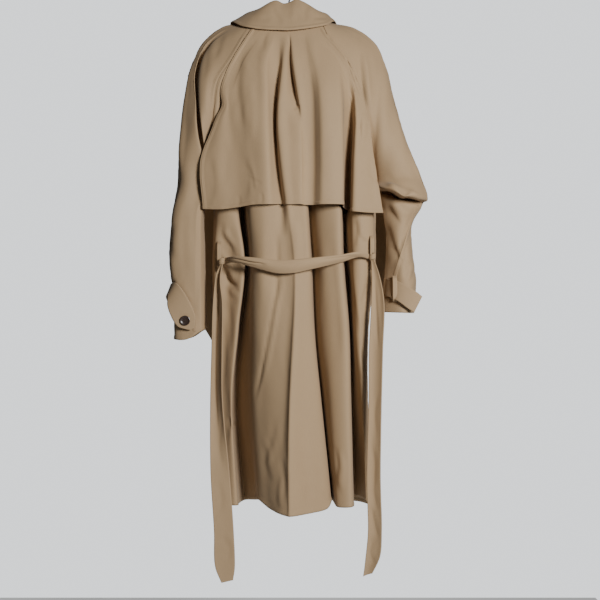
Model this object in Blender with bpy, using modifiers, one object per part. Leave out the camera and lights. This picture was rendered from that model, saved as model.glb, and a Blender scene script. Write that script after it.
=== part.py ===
"""A belted trench coat with raglan sleeves and a storm flap, hanging on a coat hanger.

Every cut piece of cloth is a thin wall of its own, in the shape in which it hangs. Metres, +Z up.
The origin is the inside of the hook's crown, where a rail carries the hanger. The coat's back
faces -Y, its front +Y, and the wearer's right arm is at +X. Tables are in millimetres.
"""

import bpy
import bmesh
import math
import numpy as np
from mathutils import Vector
from mathutils.bvhtree import BVHTree

for old in list(bpy.data.objects):
    bpy.data.objects.remove(old)

MM = 0.001
CLOTH = 1.2 * MM               # wall of the coat's cloth, seams and interlining taken together
SEAM_GAP = 0.4 * MM            # between the walls of two pieces at their seam
LAY_GAP = 2.2 * MM             # from the wall of a piece to the wall that it lies on
YOKE_ROWS = 7                  # rows of each panel from the neck seam to the armpit

coat = bpy.data.collections.new("trench_coat")
bpy.context.scene.collection.children.link(coat)


# ---------------------------------------------------------------- finishes

def finish(name, colour, roughness, metallic=0.0):
    material = bpy.data.materials.new(name)
    material.use_nodes = True
    shader = material.node_tree.nodes["Principled BSDF"]
    shader.inputs["Base Color"].default_value = (*colour, 1.0)
    shader.inputs["Roughness"].default_value = roughness
    shader.inputs["Metallic"].default_value = metallic
    return material


GABARDINE = finish("tan gabardine", (0.40, 0.28, 0.18), 0.75)
BUTTON_HORN = finish("dark brown button", (0.03, 0.018, 0.014), 0.35)
HANGER_PLASTIC = finish("black hanger", (0.02, 0.02, 0.02), 0.5)
HOOK_STEEL = finish("dark steel hook", (0.10, 0.10, 0.11), 0.35, 1.0)


# ---------------------------------------------------------------- cloth: curves, nets and walls

def curve_through(points, steps, closed=False):
    """Points on the smooth (centripetal) curve through the given points, with steps in each span."""
    points = np.asarray(points, float)
    if closed:
        ends = np.vstack([points[-2], points, points[1]])
    else:
        ends = np.vstack([2 * points[0] - points[1], points, 2 * points[-1] - points[-2]])
    run = []
    for first in range(len(points) - 1):
        a, b, c, d = ends[first:first + 4]
        at_b = max(np.linalg.norm(b - a), 1e-7) ** 0.5
        at_c = at_b + max(np.linalg.norm(c - b), 1e-7) ** 0.5
        at_d = at_c + max(np.linalg.norm(d - c), 1e-7) ** 0.5
        for step in range(steps):
            t = at_b + (at_c - at_b) * step / steps
            ab = a + (b - a) * t / at_b
            bc = b + (c - b) * (t - at_b) / (at_c - at_b)
            cd = c + (d - c) * (t - at_c) / (at_d - at_c)
            abc = ab + (bc - ab) * t / at_c
            bcd = bc + (cd - bc) * (t - at_b) / (at_d - at_b)
            run.append(abc + (bcd - abc) * (t - at_b) / (at_c - at_b))
    run.append(points[-1])
    return np.array(run)


def evenly(points, count):
    """The smooth curve through the points, cut into count equal lengths."""
    run = curve_through(points, 12)
    length = np.concatenate([[0], np.cumsum(np.linalg.norm(np.diff(run, axis=0), axis=1))])
    at = np.linspace(0, length[-1], count + 1)
    return np.stack([np.interp(at, length, run[:, axis]) for axis in range(3)], axis=1)


def down_each_line(net, steps):
    """A net of sections, made finer along its lines only."""
    net = np.asarray(net, float)
    return np.stack([curve_through(net[:, line], steps) for line in range(net.shape[1])], axis=1)


def across_each_row(net, steps, closed=False):
    """A net of sections, made finer across its sections only."""
    return np.stack([curve_through(row, steps, closed) for row in net])


def trim(grid, left=0.0, right=0.0):
    """The sheet with its side edges drawn back along the cloth, by a length for each row."""
    grid = grid.copy()
    for edge, inner, length in ((0, 1, left), (-1, -2, right)):
        inward = grid[:, inner] - grid[:, edge]
        inward /= np.linalg.norm(inward, axis=1, keepdims=True)
        grid[:, edge] += inward * np.broadcast_to(length, len(grid))[:, None]
    return grid


def surface_of(grids):
    """The middle surfaces of some sheets, for laying other pieces on them."""
    points, faces = [], []
    for grid in grids:
        rows, cols = grid.shape[:2]
        first = len(points)
        points += [tuple(point) for point in grid.reshape(-1, 3)]
        for row in range(rows - 1):
            for col in range(cols - 1):
                corner = first + row * cols + col
                faces.append((corner, corner + 1, corner + cols + 1, corner + cols))
    return BVHTree.FromPolygons(points, faces)


def lay_on(grid, surface, clearance, facing=-1):
    """Move the sheet out, towards its facing along Y, until it is clear of what lies under it."""
    grid = grid.copy()
    for point in grid.reshape(-1, 3):
        hit = surface.ray_cast(Vector((point[0], facing, point[2])), Vector((0, -facing, 0)))[0]
        if hit is not None:
            limit = hit.y + facing * clearance
            point[1] = min(point[1], limit) if facing < 0 else max(point[1], limit)
    return grid


def cloth(name, grid, wall=CLOTH, material=GABARDINE):
    """One cut piece: a sheet of rows and columns, thickened about its middle."""
    rows, cols = grid.shape[:2]
    mesh = bpy.data.meshes.new(name)
    sheet = bmesh.new()
    bmesh.ops.create_grid(sheet, x_segments=cols - 1, y_segments=rows - 1, size=1)
    for vert in sheet.verts:
        col = round((vert.co.x + 1) / 2 * (cols - 1))
        row = round((vert.co.y + 1) / 2 * (rows - 1))
        vert.co = grid[row, col]
    sheet.to_mesh(mesh)
    sheet.free()
    piece = bpy.data.objects.new(name, mesh)
    coat.objects.link(piece)
    mesh.materials.append(material)
    mesh.shade_smooth()
    thicken = piece.modifiers.new("wall", "SOLIDIFY")
    thicken.thickness = wall
    thicken.offset = 0.0
    return piece


def ribbon(path, steps, columns=5):
    """A strip from a table of stations: its middle (x, y, z), its half width (x, y, z), and how
    far its middle is cupped along Y, all in millimetres."""
    path = np.array([[*middle, *half, cup] for middle, half, cup in path], float) * MM
    stations = curve_through(path, steps)
    across = np.linspace(-1, 1, columns)
    rows = [[s[:3] + s[3:6] * a + np.array([0, s[6] * (1 - a * a), 0]) for a in across] for s in stations]
    return np.array(rows)


# ---------------------------------------------------------------- seam lines of the shoulders

# Each line runs from the neck seam to the armpit: (x, y, z)
RAGLAN_BACK = {
    "left": [(-72, -30, -101), (-89, -44, -131), (-109, -54, -165), (-137, -61, -216),
             (-158, -61, -248), (-168, -56, -300), (-177, -32, -385), (-181, 10, -465)],
    "right": [(70, -30, -101), (81, -44, -130), (99, -54, -161), (132, -60, -203),
              (151, -60, -240), (165, -55, -300), (184, -30, -385), (199, 10, -462)],
}
RAGLAN_FRONT = {
    "left": [(-78, 30, -108), (-92, 44, -138), (-118, 54, -185), (-146, 62, -250),
             (-165, 62, -320), (-177, 46, -400), (-181, 10, -465)],
    "right": [(76, 30, -108), (90, 44, -138), (114, 54, -185), (142, 62, -250),
              (166, 62, -320), (186, 44, -400), (199, 10, -462)],
}
OVERARM = {
    "left": [(-82, 0, -103), (-110, 0, -105), (-136, 0, -107), (-159, -1, -115), (-190, -2, -142),
             (-210, -3, -164), (-221, -4, -200), (-234, -5, -255), (-242, -5, -325), (-251, -6, -400),
             (-255, -6, -470)],
    "right": [(82, 0, -103), (106, 0, -105), (130, 0, -108), (157, -1, -118), (186, -2, -138),
              (205, -3, -160), (217, -4, -190), (234, -6, -255), (252, -9, -324), (274, -15, -393),
              (298, -24, -455)],
}
overarm = {side: evenly(np.array(line) * MM, YOKE_ROWS) for side, line in OVERARM.items()}
raglan_back = {side: evenly(np.array(line) * MM, YOKE_ROWS) for side, line in RAGLAN_BACK.items()}
raglan_front = {side: evenly(np.array(line) * MM, YOKE_ROWS) for side, line in RAGLAN_FRONT.items()}


# ---------------------------------------------------------------- sleeves

# Sections of the sleeve below the armpit: outer line (x, y, z), underarm seam (x, y, z), and how
# far the back and the front of the sleeve stand out from the chord between them.
SLEEVE_SECTIONS = {
    "left": [
        ((-266, -5, -542), (-197, 2, -536), 42, 40),
        ((-273, -8, -640), (-195, 0, -630), 44, 40),
        ((-266, -10, -705), (-193, -6, -710), 42, 38),
        ((-262, -10, -760), (-192, -8, -765), 40, 36),
        ((-260, -10, -822), (-191, -8, -818), 42, 34),
    ],
    "right": [
        ((314, -26, -509), (206, 4, -478), 72, 38),
        ((300, -2, -517), (212, 10, -486), 22, 42),
        ((282, 0, -562), (218, 12, -534), 34, 46),
        ((282, -6, -624), (225, 6, -613), 40, 42),
        ((290, -8, -700), (226, 0, -692), 42, 38),
        ((284, -10, -768), (218, -6, -766), 40, 34),
    ],
}
# How far the yoke of the sleeve stands out from the chord between its seams, at the neck, the
# shoulder, the upper arm and the armpit: (back, front)
YOKE_FULLNESS = [(3, 3), (9, 9), (20, 16), (38, 34)]
SECTION_SPREAD = [(0.14, 0.66), (0.5, 1.0), (0.86, 0.66)]   # (place on the chord, share of fullness)
SLEEVE_ROW_STEPS = 2
SLEEVE_COLUMN_STEPS = {"left": 2, "right": 3}

# The deep fold that runs down the back of the left sleeve from the shoulder point, row by row from
# the neck: share of the way from the outer line to the back seam, depth
SLEEVE_FOLD = [(0.30, 0), (0.20, 0), (0.10, 4), (0.26, 22), (0.50, 30), (0.62, 30), (0.66, 22),
               (0.64, 8), (0.60, 0)]
SLEEVE_FOLD_MOUTH = 11 * MM
ARMPIT_EASE = [1.5 * MM, 3.0 * MM]      # the underarm stands off the side of the body, last yoke rows


def half_section(outer, inner, fullness, down, turn):
    """Five points round the back or the front of the arm, and the way in which it faces."""
    chord = inner - outer
    out = turn * np.cross(down, chord)
    out /= np.linalg.norm(out)
    between = [outer + chord * place + out * fullness * share for place, share in SECTION_SPREAD]
    return [outer, *between, inner], out


def with_fold(section, out, place, depth):
    """A half section that dives into a narrow fold at a share of its length."""
    run = evenly(np.array(section), 60)
    length = np.linalg.norm(np.diff(run, axis=0), axis=1).sum()
    lip = SLEEVE_FOLD_MOUTH / 2 / length
    at = [0, (place - lip) / 2, place - lip, place, place + lip, (1 + place + lip) / 2, 1]
    points = [run[round(share * 60)] for share in at]
    points[3] = points[3] - out * depth
    return points


def sleeve(side):
    """The tube of the sleeve as one grid, and the number of its overarm column."""
    sections = SLEEVE_SECTIONS[side]
    outer = np.vstack([overarm[side], [np.array(s[0]) * MM for s in sections]])
    under = [np.array(s[1]) * MM for s in sections]
    back_seam = np.vstack([raglan_back[side], under])
    front_seam = np.vstack([raglan_front[side], under])
    for seam in (back_seam, front_seam):
        seam[YOKE_ROWS - 1:YOKE_ROWS + 1, 0] += np.array(ARMPIT_EASE) * (-1 if side == "left" else 1)
    table_at = np.linspace(0, YOKE_ROWS, len(YOKE_FULLNESS))
    fullness = [
        [np.interp(row, table_at, [entry[face] for entry in YOKE_FULLNESS]) for face in (0, 1)]
        for row in range(YOKE_ROWS + 1)
    ] + [[s[2], s[3]] for s in sections]
    turn = 1 if side == "left" else -1
    net = []
    for k in range(len(outer)):
        before, after = max(k - 1, 0), min(k + 1, len(outer) - 1)
        down = outer[after] - outer[before] + back_seam[after] - back_seam[before]
        down[1] = 0
        down /= np.linalg.norm(down)
        back_full, front_full = np.array(fullness[k]) * MM
        back_part, out = half_section(outer[k], back_seam[k], back_full, down, turn)
        front_part, _ = half_section(outer[k], front_seam[k], front_full, down, -turn)
        if side == "left":
            place, depth = SLEEVE_FOLD[min(k, len(SLEEVE_FOLD) - 1)]
            back_part = with_fold(back_part, out, place, depth * MM)
        net.append(back_part[::-1] + front_part[1:])
    net = np.array(net)
    arm = down_each_line(net[YOKE_ROWS:], SLEEVE_ROW_STEPS)
    steps = SLEEVE_COLUMN_STEPS[side]
    yoke = across_each_row(net[:YOKE_ROWS], steps)
    arm = across_each_row(arm, steps, closed=True)
    return np.vstack([yoke, arm]), (len(back_part) - 1) * steps


sleeves, overarm_column = {}, {}
for side in ("left", "right"):
    sleeves[side], overarm_column[side] = sleeve(side)


# ---------------------------------------------------------------- back

# Heights of the tables below the armpit
CHEST, WAIST, HIP, KNEE, HEM = -545, -652, -806, -962, -1200

# One row a fold line of the back, from the left side seam to the right one:
# name, x at the chest, waist, hip, knee and hem, depth (-y) at the same, drop of the hem
BACK_FOLDS = [
    ("side seam",       (-173, -178, -182, -184, -184), (-5, -10, -15, -15, -20), -15),
    ("side, outside",   (-162, -169, -174, -176, -174), (35, 35, 30, 30, 30), -8),
    ("side, middle",    (-136, -132, -141, -150, -146), (50, 50, 45, 45, 45), -2),
    ("side, edge",      (-116, -106, -114, -129, -116), (48, 48, 45, 45, 45), 0),
    ("gully 1, wall",   (-114, -104, -113, -126, -112), (20, 20, 10, 0, -5), -6),
    ("gully 1, floor",  (-108, -99, -104, -108, -92),   (-10, -10, -25, -35, -45), -8),
    ("gully 1, rise",   (-101, -92, -91, -83, -62),     (30, 25, 10, 0, 0), 4),
    ("panel 1, edge",   (-85, -81, -80, -73, -54),      (75, 70, 60, 60, 55), 14),
    ("panel 1",         (-58, -58, -61, -59, -34),      (92, 92, 85, 80, 90), 6),
    ("trough",          (-19, -21, -21, -23, -15),      (80, 84, 98, 100, 116), 0),
    ("main ridge",      (6, 12, 13, 4, 2),              (96, 98, 112, 122, 132), -4),
    ("panel 2",         (25, 32, 34, 36, 45),           (96, 96, 102, 104, 102), 2),
    ("panel 2, edge",   (45, 52, 59, 70, 93),           (90, 88, 85, 78, 62), 10),
    ("gully 2, floor",  (59, 61, 66, 75, 99),           (55, 50, 45, 35, 25), 4),
    ("panel 3, edge",   (76, 78, 90, 99, 112),          (75, 75, 72, 70, 70), 4),
    ("panel 3",         (118, 121, 131, 132, 138),      (88, 86, 84, 82, 80), 4),
    ("gully 3, wall",   (125, 128, 138, 140, 147),      (40, 35, 30, 20, 0), 2),
    ("gully 3, floor",  (135, 137, 146, 154, 163),      (-15, -18, -22, -35, -45), 2),
    ("side, edge",      (143, 143, 151, 163, 175),      (50, 50, 38, 15, -12), 2),
    ("side, middle",    (164, 162, 164, 172, 182),      (56, 56, 44, 25, 2), 0),
    ("side, outside",   (188, 188, 179, 183, 188),      (40, 40, 25, 8, -12), -8),
    ("side seam",       (198, 198, 186, 187, 189),      (-5, -5, -8, -15, -28), -14),
]
BACK_COLUMN_STEPS = 2
BACK_ROW_STEPS = 2
FOLD_FADE = [0, 0, 0, 0.05, 0.2, 0.45, 0.7, 0.85]       # how far the folds have opened, row by row


def back_net():
    """The fold lines of the back from the neck to the hem. In the yoke they fan out from the neck
    and flatten."""
    x = np.array([row[1] for row in BACK_FOLDS], float).T * MM
    y = -np.array([row[2] for row in BACK_FOLDS], float).T * MM
    z = np.repeat(np.array([[CHEST], [WAIST], [HIP], [KNEE], [HEM]], float), len(BACK_FOLDS), axis=1)
    z[-1] += [row[3] for row in BACK_FOLDS]
    z *= MM
    place = (x[0] - x[0][0]) / (x[0][-1] - x[0][0])
    rounding = 1 - (2 * place - 1) ** 4
    chest_round = y[0][0] + (-0.076 - y[0][0]) * rounding
    net = []
    for k in range(YOKE_ROWS + 1):
        left, right = raglan_back["left"][k], raglan_back["right"][k]
        row = left + np.outer(place, right - left)
        share = k / YOKE_ROWS
        centre_depth = -0.036 - 0.040 * min(1, share * 1.2)
        middle = row[:, 1].mean()
        row[:, 1] += (min(centre_depth, middle) - middle) * rounding
        row[:, 1] += FOLD_FADE[k] * (y[0] - chest_round)
        row[0], row[-1] = left, right
        net.append(row)
    lower = np.stack([x, y, z], axis=2)
    return np.array(net), lower


yoke_net, skirt_net = back_net()
skirt = down_each_line(np.vstack([yoke_net[-1:], skirt_net]), BACK_ROW_STEPS)
back = across_each_row(np.vstack([yoke_net[:-1], skirt]), BACK_COLUMN_STEPS)


# ---------------------------------------------------------------- fronts

# Depth (y) of the fronts at the neck, chest, armpit and then the heights of the back's table:
# z, depth a third of the way in from the seam, depth of the flat middle
FRONT_DEPTH = [(-125, 50, 54), (-200, 62, 66), (-300, 72, 76), (-465, 66, 80), (CHEST, 66, 82),
               (WAIST, 68, 84), (HIP, 70, 86), (KNEE, 74, 88), (HEM, 78, 92)]
# Front edge, from the neck along the roll line of the lapel, then straight down: (x, z)
LEFT_FRONT_EDGE = [(-71, -122), (-20, -215), (40, -330), (82, -430), (84, -545), (84, -652),
                   (85, -806), (86, -962), (88, -1200)]
RIGHT_FRONT_EDGE = [(70, -122), (25, -215), (-25, -330), (-60, -430), (-62, -545), (-62, -652),
                    (-62, -806), (-62, -962), (-62, -1200)]
FRONT_PLACES = [0, 0.07, 0.2, 0.4, 0.6, 0.8, 1]           # lines of the front, seam to edge
FRONT_FOLDS = [(0.2, 3), (0.4, -3), (0.6, 3), (0.8, -2)]  # place, depth at the hem
# How each front stands out beside the back, under the arm: height, how far its third line lies out
# to the side. The second line goes SIDE_SHARE of it, and both lie SIDE_BACK of it nearer the back.
FRONT_SIDES = {
    "left": [(-425, 0), (-450, 12), (-480, 44), (-515, 76), (-560, 86), (-652, 86), (-740, 76), (-806, 62),
             (-850, 46), (-900, 26), (-962, 8), (-1020, 0)],
    "right": [(-425, 0), (-450, 8), (-480, 28), (-510, 58), (-545, 84), (-590, 92), (-640, 90), (-680, 78),
              (-720, 50), (-760, 20), (-800, 5), (-850, 0)],
}
SIDE_SHARE = 0.31
SIDE_BACK = {"left": 0.1, "right": 0.04}
UNDERLAP = 11 * MM                                       # the right front lies inside the left one
FRONT_COLUMN_STEPS = 2


def front(side, edge, inset):
    """The fold lines of one front, from its seam to its edge."""
    _, seam_x, seam_y, drop = BACK_FOLDS[0] if side == "left" else BACK_FOLDS[-1]
    levels = (CHEST, WAIST, HIP, KNEE, HEM)
    depth_z = [row[0] * MM for row in reversed(FRONT_DEPTH)]
    edge_z = [row[1] * MM for row in reversed(edge)]
    seam = list(raglan_front[side])
    for k, level in enumerate(levels):
        hem_drop = drop if level == HEM else 0
        seam.append(np.array([seam_x[k], -seam_y[k], level + hem_drop]) * MM)
    seam = np.vstack([seam[:YOKE_ROWS], down_each_line(np.array(seam[YOKE_ROWS:])[:, None], 2)[:, 0]])
    sides = np.array(FRONT_SIDES[side][::-1], float) * MM
    outside = -1 if side == "left" else 1
    net = []
    for point in seam:
        z = point[2]
        out = np.interp(z, sides[:, 0], sides[:, 1])
        to_side = {1: SIDE_SHARE * out, 2: out}
        edge_height = min(z, edge_z[-1]) if z > -0.46 else z
        edge_x = np.interp(edge_height, edge_z, [row[0] * MM for row in reversed(edge)])
        third = np.interp(z, depth_z, [row[1] * MM for row in reversed(FRONT_DEPTH)])
        flat = np.interp(z, depth_z, [row[2] * MM for row in reversed(FRONT_DEPTH)])
        opening = np.clip((-0.3 - z) / 0.9, 0, 1)
        row = []
        for line, place in enumerate(FRONT_PLACES):
            x = point[0] + (edge_x - point[0]) * place + outside * to_side.get(line, 0)
            rise = 1 - (1 - min(place / 0.2, 1)) ** 2.2
            top = third + (flat - third) * min(place / 0.4, 1)
            y = point[1] + (top - point[1]) * rise - (SIDE_BACK[side] * out if line in to_side else 0)
            for fold_place, fold_depth in FRONT_FOLDS:
                if place == fold_place:
                    y += fold_depth * MM * opening
            row.append((x, y - inset * min(place / 0.2, 1), z + (edge_height - z) * place))
        net.append(row)
    return across_each_row(np.array(net), FRONT_COLUMN_STEPS)


front_left = front("left", LEFT_FRONT_EDGE, 0)
front_right = front("right", RIGHT_FRONT_EDGE, UNDERLAP)


# ---------------------------------------------------------------- seams of the body and the sleeves

def seam_allowance(edge, one, other):
    """How far two pieces stop short of their shared edge, row by row, for their walls to stay
    apart. Each piece's next column says in which direction it leaves the edge."""
    one, other = one - edge, other - edge
    cosine = (one * other).sum(axis=1) / np.linalg.norm(one, axis=1) / np.linalg.norm(other, axis=1)
    half = np.arccos(np.clip(cosine, -1, 1)) / 2
    return SEAM_GAP / 2 / np.sin(half) + CLOTH / 2 / np.tan(half)


body_trims = {}
for side, front_grid, edge, inner in (("left", front_left, 0, 1), ("right", front_right, -1, -2)):
    tube, middle = sleeves[side], overarm_column[side]
    yoke, arm = np.s_[:YOKE_ROWS + 1], np.s_[YOKE_ROWS:]
    underarm = seam_allowance(tube[arm, 0], tube[arm, 1], tube[arm, -2])
    raglan = {
        "back": seam_allowance(back[yoke, edge], tube[yoke, 1], back[yoke, inner]),
        "front": seam_allowance(front_grid[yoke, 0], tube[yoke, -2], front_grid[yoke, 1]),
    }
    side_seam = seam_allowance(back[arm, edge], back[arm, inner], front_grid[arm, 1])
    for face in ("back", "front"):
        body_trims[side, face] = np.append(raglan[face], side_seam[1:])
    overarm_trim = seam_allowance(tube[:, middle], tube[:, middle - 1], tube[:, middle + 1])
    back_trim, front_trim = (np.append(raglan[face], underarm[1:]) for face in ("back", "front"))
    cloth(f"sleeve_{side}_back", trim(tube[:, :middle + 1], left=back_trim, right=overarm_trim))
    cloth(f"sleeve_{side}_front", trim(tube[:, middle:], left=overarm_trim, right=front_trim))
    cloth(f"front_{side}", trim(front_grid, left=body_trims[side, "front"]))

cloth("back", trim(back, left=body_trims["left", "back"], right=body_trims["right", "back"]))


# ---------------------------------------------------------------- storm flap

FLAP_LEVELS = (-140, -208, -272, -340, -424, -529)
# One row a fold line of the flap, from its left edge to its right one:
# name, x at each level, depth (-y) at each level, height of the hem
FLAP_FOLDS = [
    ("left edge",     (-85, -130, -152, -166, -197, -192), (50, 66, 68, 74, 72, 62), -534),
    ("left panel",    (-78, -122, -138, -143, -148, -142), (50, 68, 75, 82, 84, 78), -536),
    ("trough 1",      (-67, -113, -122, -115, -97, -94),   (50, 66, 71, 76, 80, 84), -532),
    ("slope",         (-51, -82, -88, -81, -72, -69),      (51, 74, 82, 88, 95, 98), -528),
    ("ridge 1",       (-35, -50, -50, -49, -46, -43),      (51, 78, 90, 98, 105, 108), -528),
    ("pleat, floor",  (-22, -21, -23, -27, -27, -15),      (51, 66, 64, 64, 70, 86), -526),
    ("pleat, left",   (-9, -12, -18, -23, -23, -9),        (51, 76, 89, 98, 104, 107), -528),
    ("pleat, middle", (-4, -4, -1, 0, 3, 10),              (51, 74, 87, 96, 104, 109), -528),
    ("pleat, tuck",   (1, 5, 20, 27, 27, 27),              (51, 62, 74, 92, 102, 109), -528),
    ("pleat, right",  (4, 10, 24, 31, 32, 32),             (51, 79, 91, 100, 107, 111), -529),
    ("right panel",   (19, 34, 43, 45, 47, 47),            (51, 77, 89, 98, 105, 110), -529),
    ("trough 2",      (37, 63, 65, 67, 67, 67),            (51, 70, 78, 84, 89, 94), -529),
    ("ridge 2",       (55, 101, 112, 117, 119, 120),       (50, 70, 80, 89, 99, 104), -529),
    ("gully, wall",   (64, 115, 128, 130, 128, 126),       (50, 66, 75, 78, 74, 74), -530),
    ("gully, floor",  (70, 124, 138, 140, 137, 134),       (50, 64, 70, 64, 42, 26), -535),
    ("gully, lip",    (77, 133, 148, 152, 149, 144),       (50, 63, 71, 76, 78, 77), -542),
    ("side panel",    (81, 136, 155, 163, 168, 176),       (50, 62, 68, 75, 79, 78), -544),
    ("right edge",    (86, 139, 162, 179, 191, 211),       (50, 61, 62, 66, 66, 62), -543),
]
FLAP_NECK = (-68, 66, -103, 34)        # x from and to, height and depth of the edge in the neck seam


def flap_net():
    places = np.linspace(0, 1, len(FLAP_FOLDS))
    x0, x1, z0, depth = FLAP_NECK
    neck = [((x0 + (x1 - x0) * p), -depth, z0) for p in places]
    net = [neck]
    for k, level in enumerate(FLAP_LEVELS):
        last = k == len(FLAP_LEVELS) - 1
        net.append([(row[1][k], -row[2][k], row[3] if last else level) for row in FLAP_FOLDS])
    return np.array(net, float) * MM


flap = across_each_row(down_each_line(flap_net(), 2), 2)
under_flap = surface_of([back, sleeves["left"], sleeves["right"]])
flap = lay_on(flap, under_flap, CLOTH + LAY_GAP)
cloth("storm_flap_back", flap)


# ---------------------------------------------------------------- collar and lapels

# Stations round the neck from the left lapel over the back to the right one. Neck seam (x, y, z),
# roll line (x, y, z), outer edge of the fall (x, y, z)
COLLAR = [
    ((-70, 52, -124), (-72, 62, -114), (-106, 90, -194)),
    ((-79, 32, -112), (-84, 38, -98), (-120, 70, -146)),
    ((-82, 2, -102), (-85, 4, -80), (-134, 2, -101)),
    ((-68, -26, -99), (-62, -18, -72), (-100, -46, -122)),
    ((-32, -30, -98), (-30, -25, -58), (-60, -56, -131)),
    ((-12, -31, -98), (-12, -26, -65), (-26, -59, -133)),
    ((0, -31, -98), (2, -26, -62), (-2, -60, -134)),
    ((14, -31, -98), (16, -26, -55), (22, -59, -132)),
    ((32, -30, -98), (31, -25, -60), (48, -56, -128)),
    ((66, -26, -99), (60, -18, -76), (83, -46, -119)),
    ((81, 2, -102), (82, 4, -84), (107, 2, -99)),
    ((77, 32, -112), (84, 38, -100), (110, 70, -148)),
    ((70, 52, -124), (72, 62, -116), (102, 90, -194)),
]
STAND_LIFT = 1.0 * MM             # the stand starts above the neck seam, inside the coat
STAND_INSET = 0.97              # the stand's ring is this much smaller than the seam's
FALL_ROLL = 1.9 * MM              # the fall turns over this far above the stand

stations = np.array(COLLAR, float) * MM
stations = down_each_line(stations, 2)
seam_line, roll_line, fall_edge = stations[:, 0], stations[:, 1], stations[:, 2]
stand = np.array([seam_line + [0, 0, STAND_LIFT], (seam_line + roll_line) / 2, roll_line - [0, 0, FALL_ROLL]])
stand[:, :, :2] *= STAND_INSET
stand = stand[:, 3:-3]
outward = fall_edge - roll_line
fall = np.array([
    roll_line,
    roll_line + outward * 0.25 + [0, 0, 0.006],
    roll_line + outward * 0.6 + [0, 0, 0.004],
    fall_edge,
])
fall = down_each_line(fall, 2)
cloth("collar_stand", stand)
cloth("collar_fall", fall)

# Lapels lie on the fronts: stations from the collar down the roll line:
# roll line (x, z), outer edge (x, z)
LAPELS = {
    "left": [((-73, -130), (-128, -196)), ((-55, -162), (-132, -212)), ((-16, -232), (-98, -282)),
             ((29, -318), (-28, -352)), ((62, -395), (52, -405))],
    "right": [((72, -130), (124, -196)), ((55, -162), (128, -212)), ((22, -232), (96, -282)),
              ((-12, -318), (34, -345)), ((-24, -348), (-16, -356))],
}
for side, front_grid in (("left", front_left), ("right", front_right)):
    surface = surface_of([front_grid, sleeves[side]])
    rows = down_each_line(np.array([[(x, 0, z) for x, z in row] for row in LAPELS[side]]) * MM, 2)
    rows = across_each_row(rows, 4)
    rows[..., 1] = 0.04
    cloth(f"lapel_{side}", lay_on(rows, surface, CLOTH + LAY_GAP, facing=1))


# ---------------------------------------------------------------- epaulettes

# Rows of the sleeve between which each epaulette lies, the rise of its outer end, and how far round
# the shoulder its middle lies from the overarm seam, + to the front
EPAULETTES = {"left": (1.1, 3.2, 4, 27), "right": (0.75, 2.75, 0, 38)}
EPAULETTE_WIDTHS = [-18, -10, 0, 10, 20]      # across the strap, from its middle
EPAULETTE_ROWS = 9
EPAULETTE_POINT = [0.35, 0.8]              # share of the full width at its first rows, for the pointed end
EPAULETTE_RISE = 0.3                       # share of its length over which it lifts off the shoulder
EPAULETTE_SEAT = CLOTH + 0.8 * MM       # held close by the button, then clear of the shoulder point
EPAULETTE_ARCH = 2.4 * MM
SHOULDER_HEART = Vector((0.10, 0, -0.26))   # a place inside the shoulder, to tell out from in


def on_sleeve(side, row, reach):
    """The point of the sleeve at a row, and a distance round it from the overarm seam."""
    tube, middle = sleeves[side], overarm_column[side]
    first = int(row)
    section = tube[first] + (tube[first + 1] - tube[first]) * (row - first)
    steps = np.linalg.norm(np.diff(section, axis=0), axis=1)
    length = np.concatenate([[0], np.cumsum(steps)])
    at = length[middle] + reach
    return np.array([np.interp(at, length, section[:, axis]) for axis in range(3)])


def off_sleeve(side, row, reach, lift):
    """The same point, moved out from the cloth."""
    down = on_sleeve(side, row + 0.3, reach) - on_sleeve(side, row - 0.3, reach)
    across = on_sleeve(side, row, reach + 3 * MM) - on_sleeve(side, row, reach - 3 * MM)
    out = np.cross(down, across)
    point = on_sleeve(side, row, reach)
    heart = np.array(SHOULDER_HEART) * ((-1, 1, 1) if side == "left" else (1, 1, 1))
    out *= 1 if np.dot(out, point - heart) > 0 else -1
    return point + out / np.linalg.norm(out) * lift


for side, (first, last, rise, middle) in EPAULETTES.items():
    strip = []
    for k in range(EPAULETTE_ROWS):
        share = k / (EPAULETTE_ROWS - 1)
        row = first + (last - first) * share
        narrow = EPAULETTE_POINT[k] if k < len(EPAULETTE_POINT) else 1
        arch = EPAULETTE_ARCH * min(share / EPAULETTE_RISE, 1)
        lift = EPAULETTE_SEAT + arch + rise * MM * share ** 3
        reaches = [(middle + width * narrow) * MM for width in EPAULETTE_WIDTHS]
        strip.append([off_sleeve(side, row, reach, lift) for reach in reaches])
    cloth(f"epaulette_{side}", np.array(strip))


# ---------------------------------------------------------------- cuff straps and their keepers

# Stations of each strap: middle (x, y, z), half width (x, y, z), cup
CUFF_STRAPS = {
    "left": [((-238, 29, -735), (0, 0, -21), 0), ((-260, 18, -737), (0, 0, -21), 0),
             ((-272, 2, -736), (-3, 1, -20), 0),
             ((-276, -18, -728), (-7, 2, -19), 0), ((-260, -48, -720), (-17, 4, -12), 0),
             ((-242, -58, -750), (-19, 2, -9), 0), ((-230, -60, -780), (-18, 0, -11), 0),
             ((-222, -60, -797), (-10, 0, -6), 0)],
    "right": [((221.5, 8, -706), (-2, 0, -20), 0), ((220.5, -8, -708), (-2, 0, -20), 0),
              ((224, -24, -710), (-3, 0, -20), 0), ((234, -41, -713), (-4, 0, -20), 0),
              ((244, -50, -717), (-5, 0, -20), 0), ((257, -57, -725), (-7, 0, -19), 0),
              ((276, -61, -738), (-9, 0, -19), 0), ((290, -60, -748), (-9, 0, -18), 0)],
}
for side, table in CUFF_STRAPS.items():
    cloth(f"cuff_strap_{side}", ribbon(table, 2, 4))

# Keepers over the straps, and later the belt loops, are short strips of one kind
LOOP_SEAT = CLOTH / MM + 0.5               # from the middle of the cloth below to that of a loop
LOOP_ARCH = [(0, 0), (0.12, 0.8), (0.5, 1), (0.88, 0.8), (1, 0)]     # share of the length, of the stand


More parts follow.
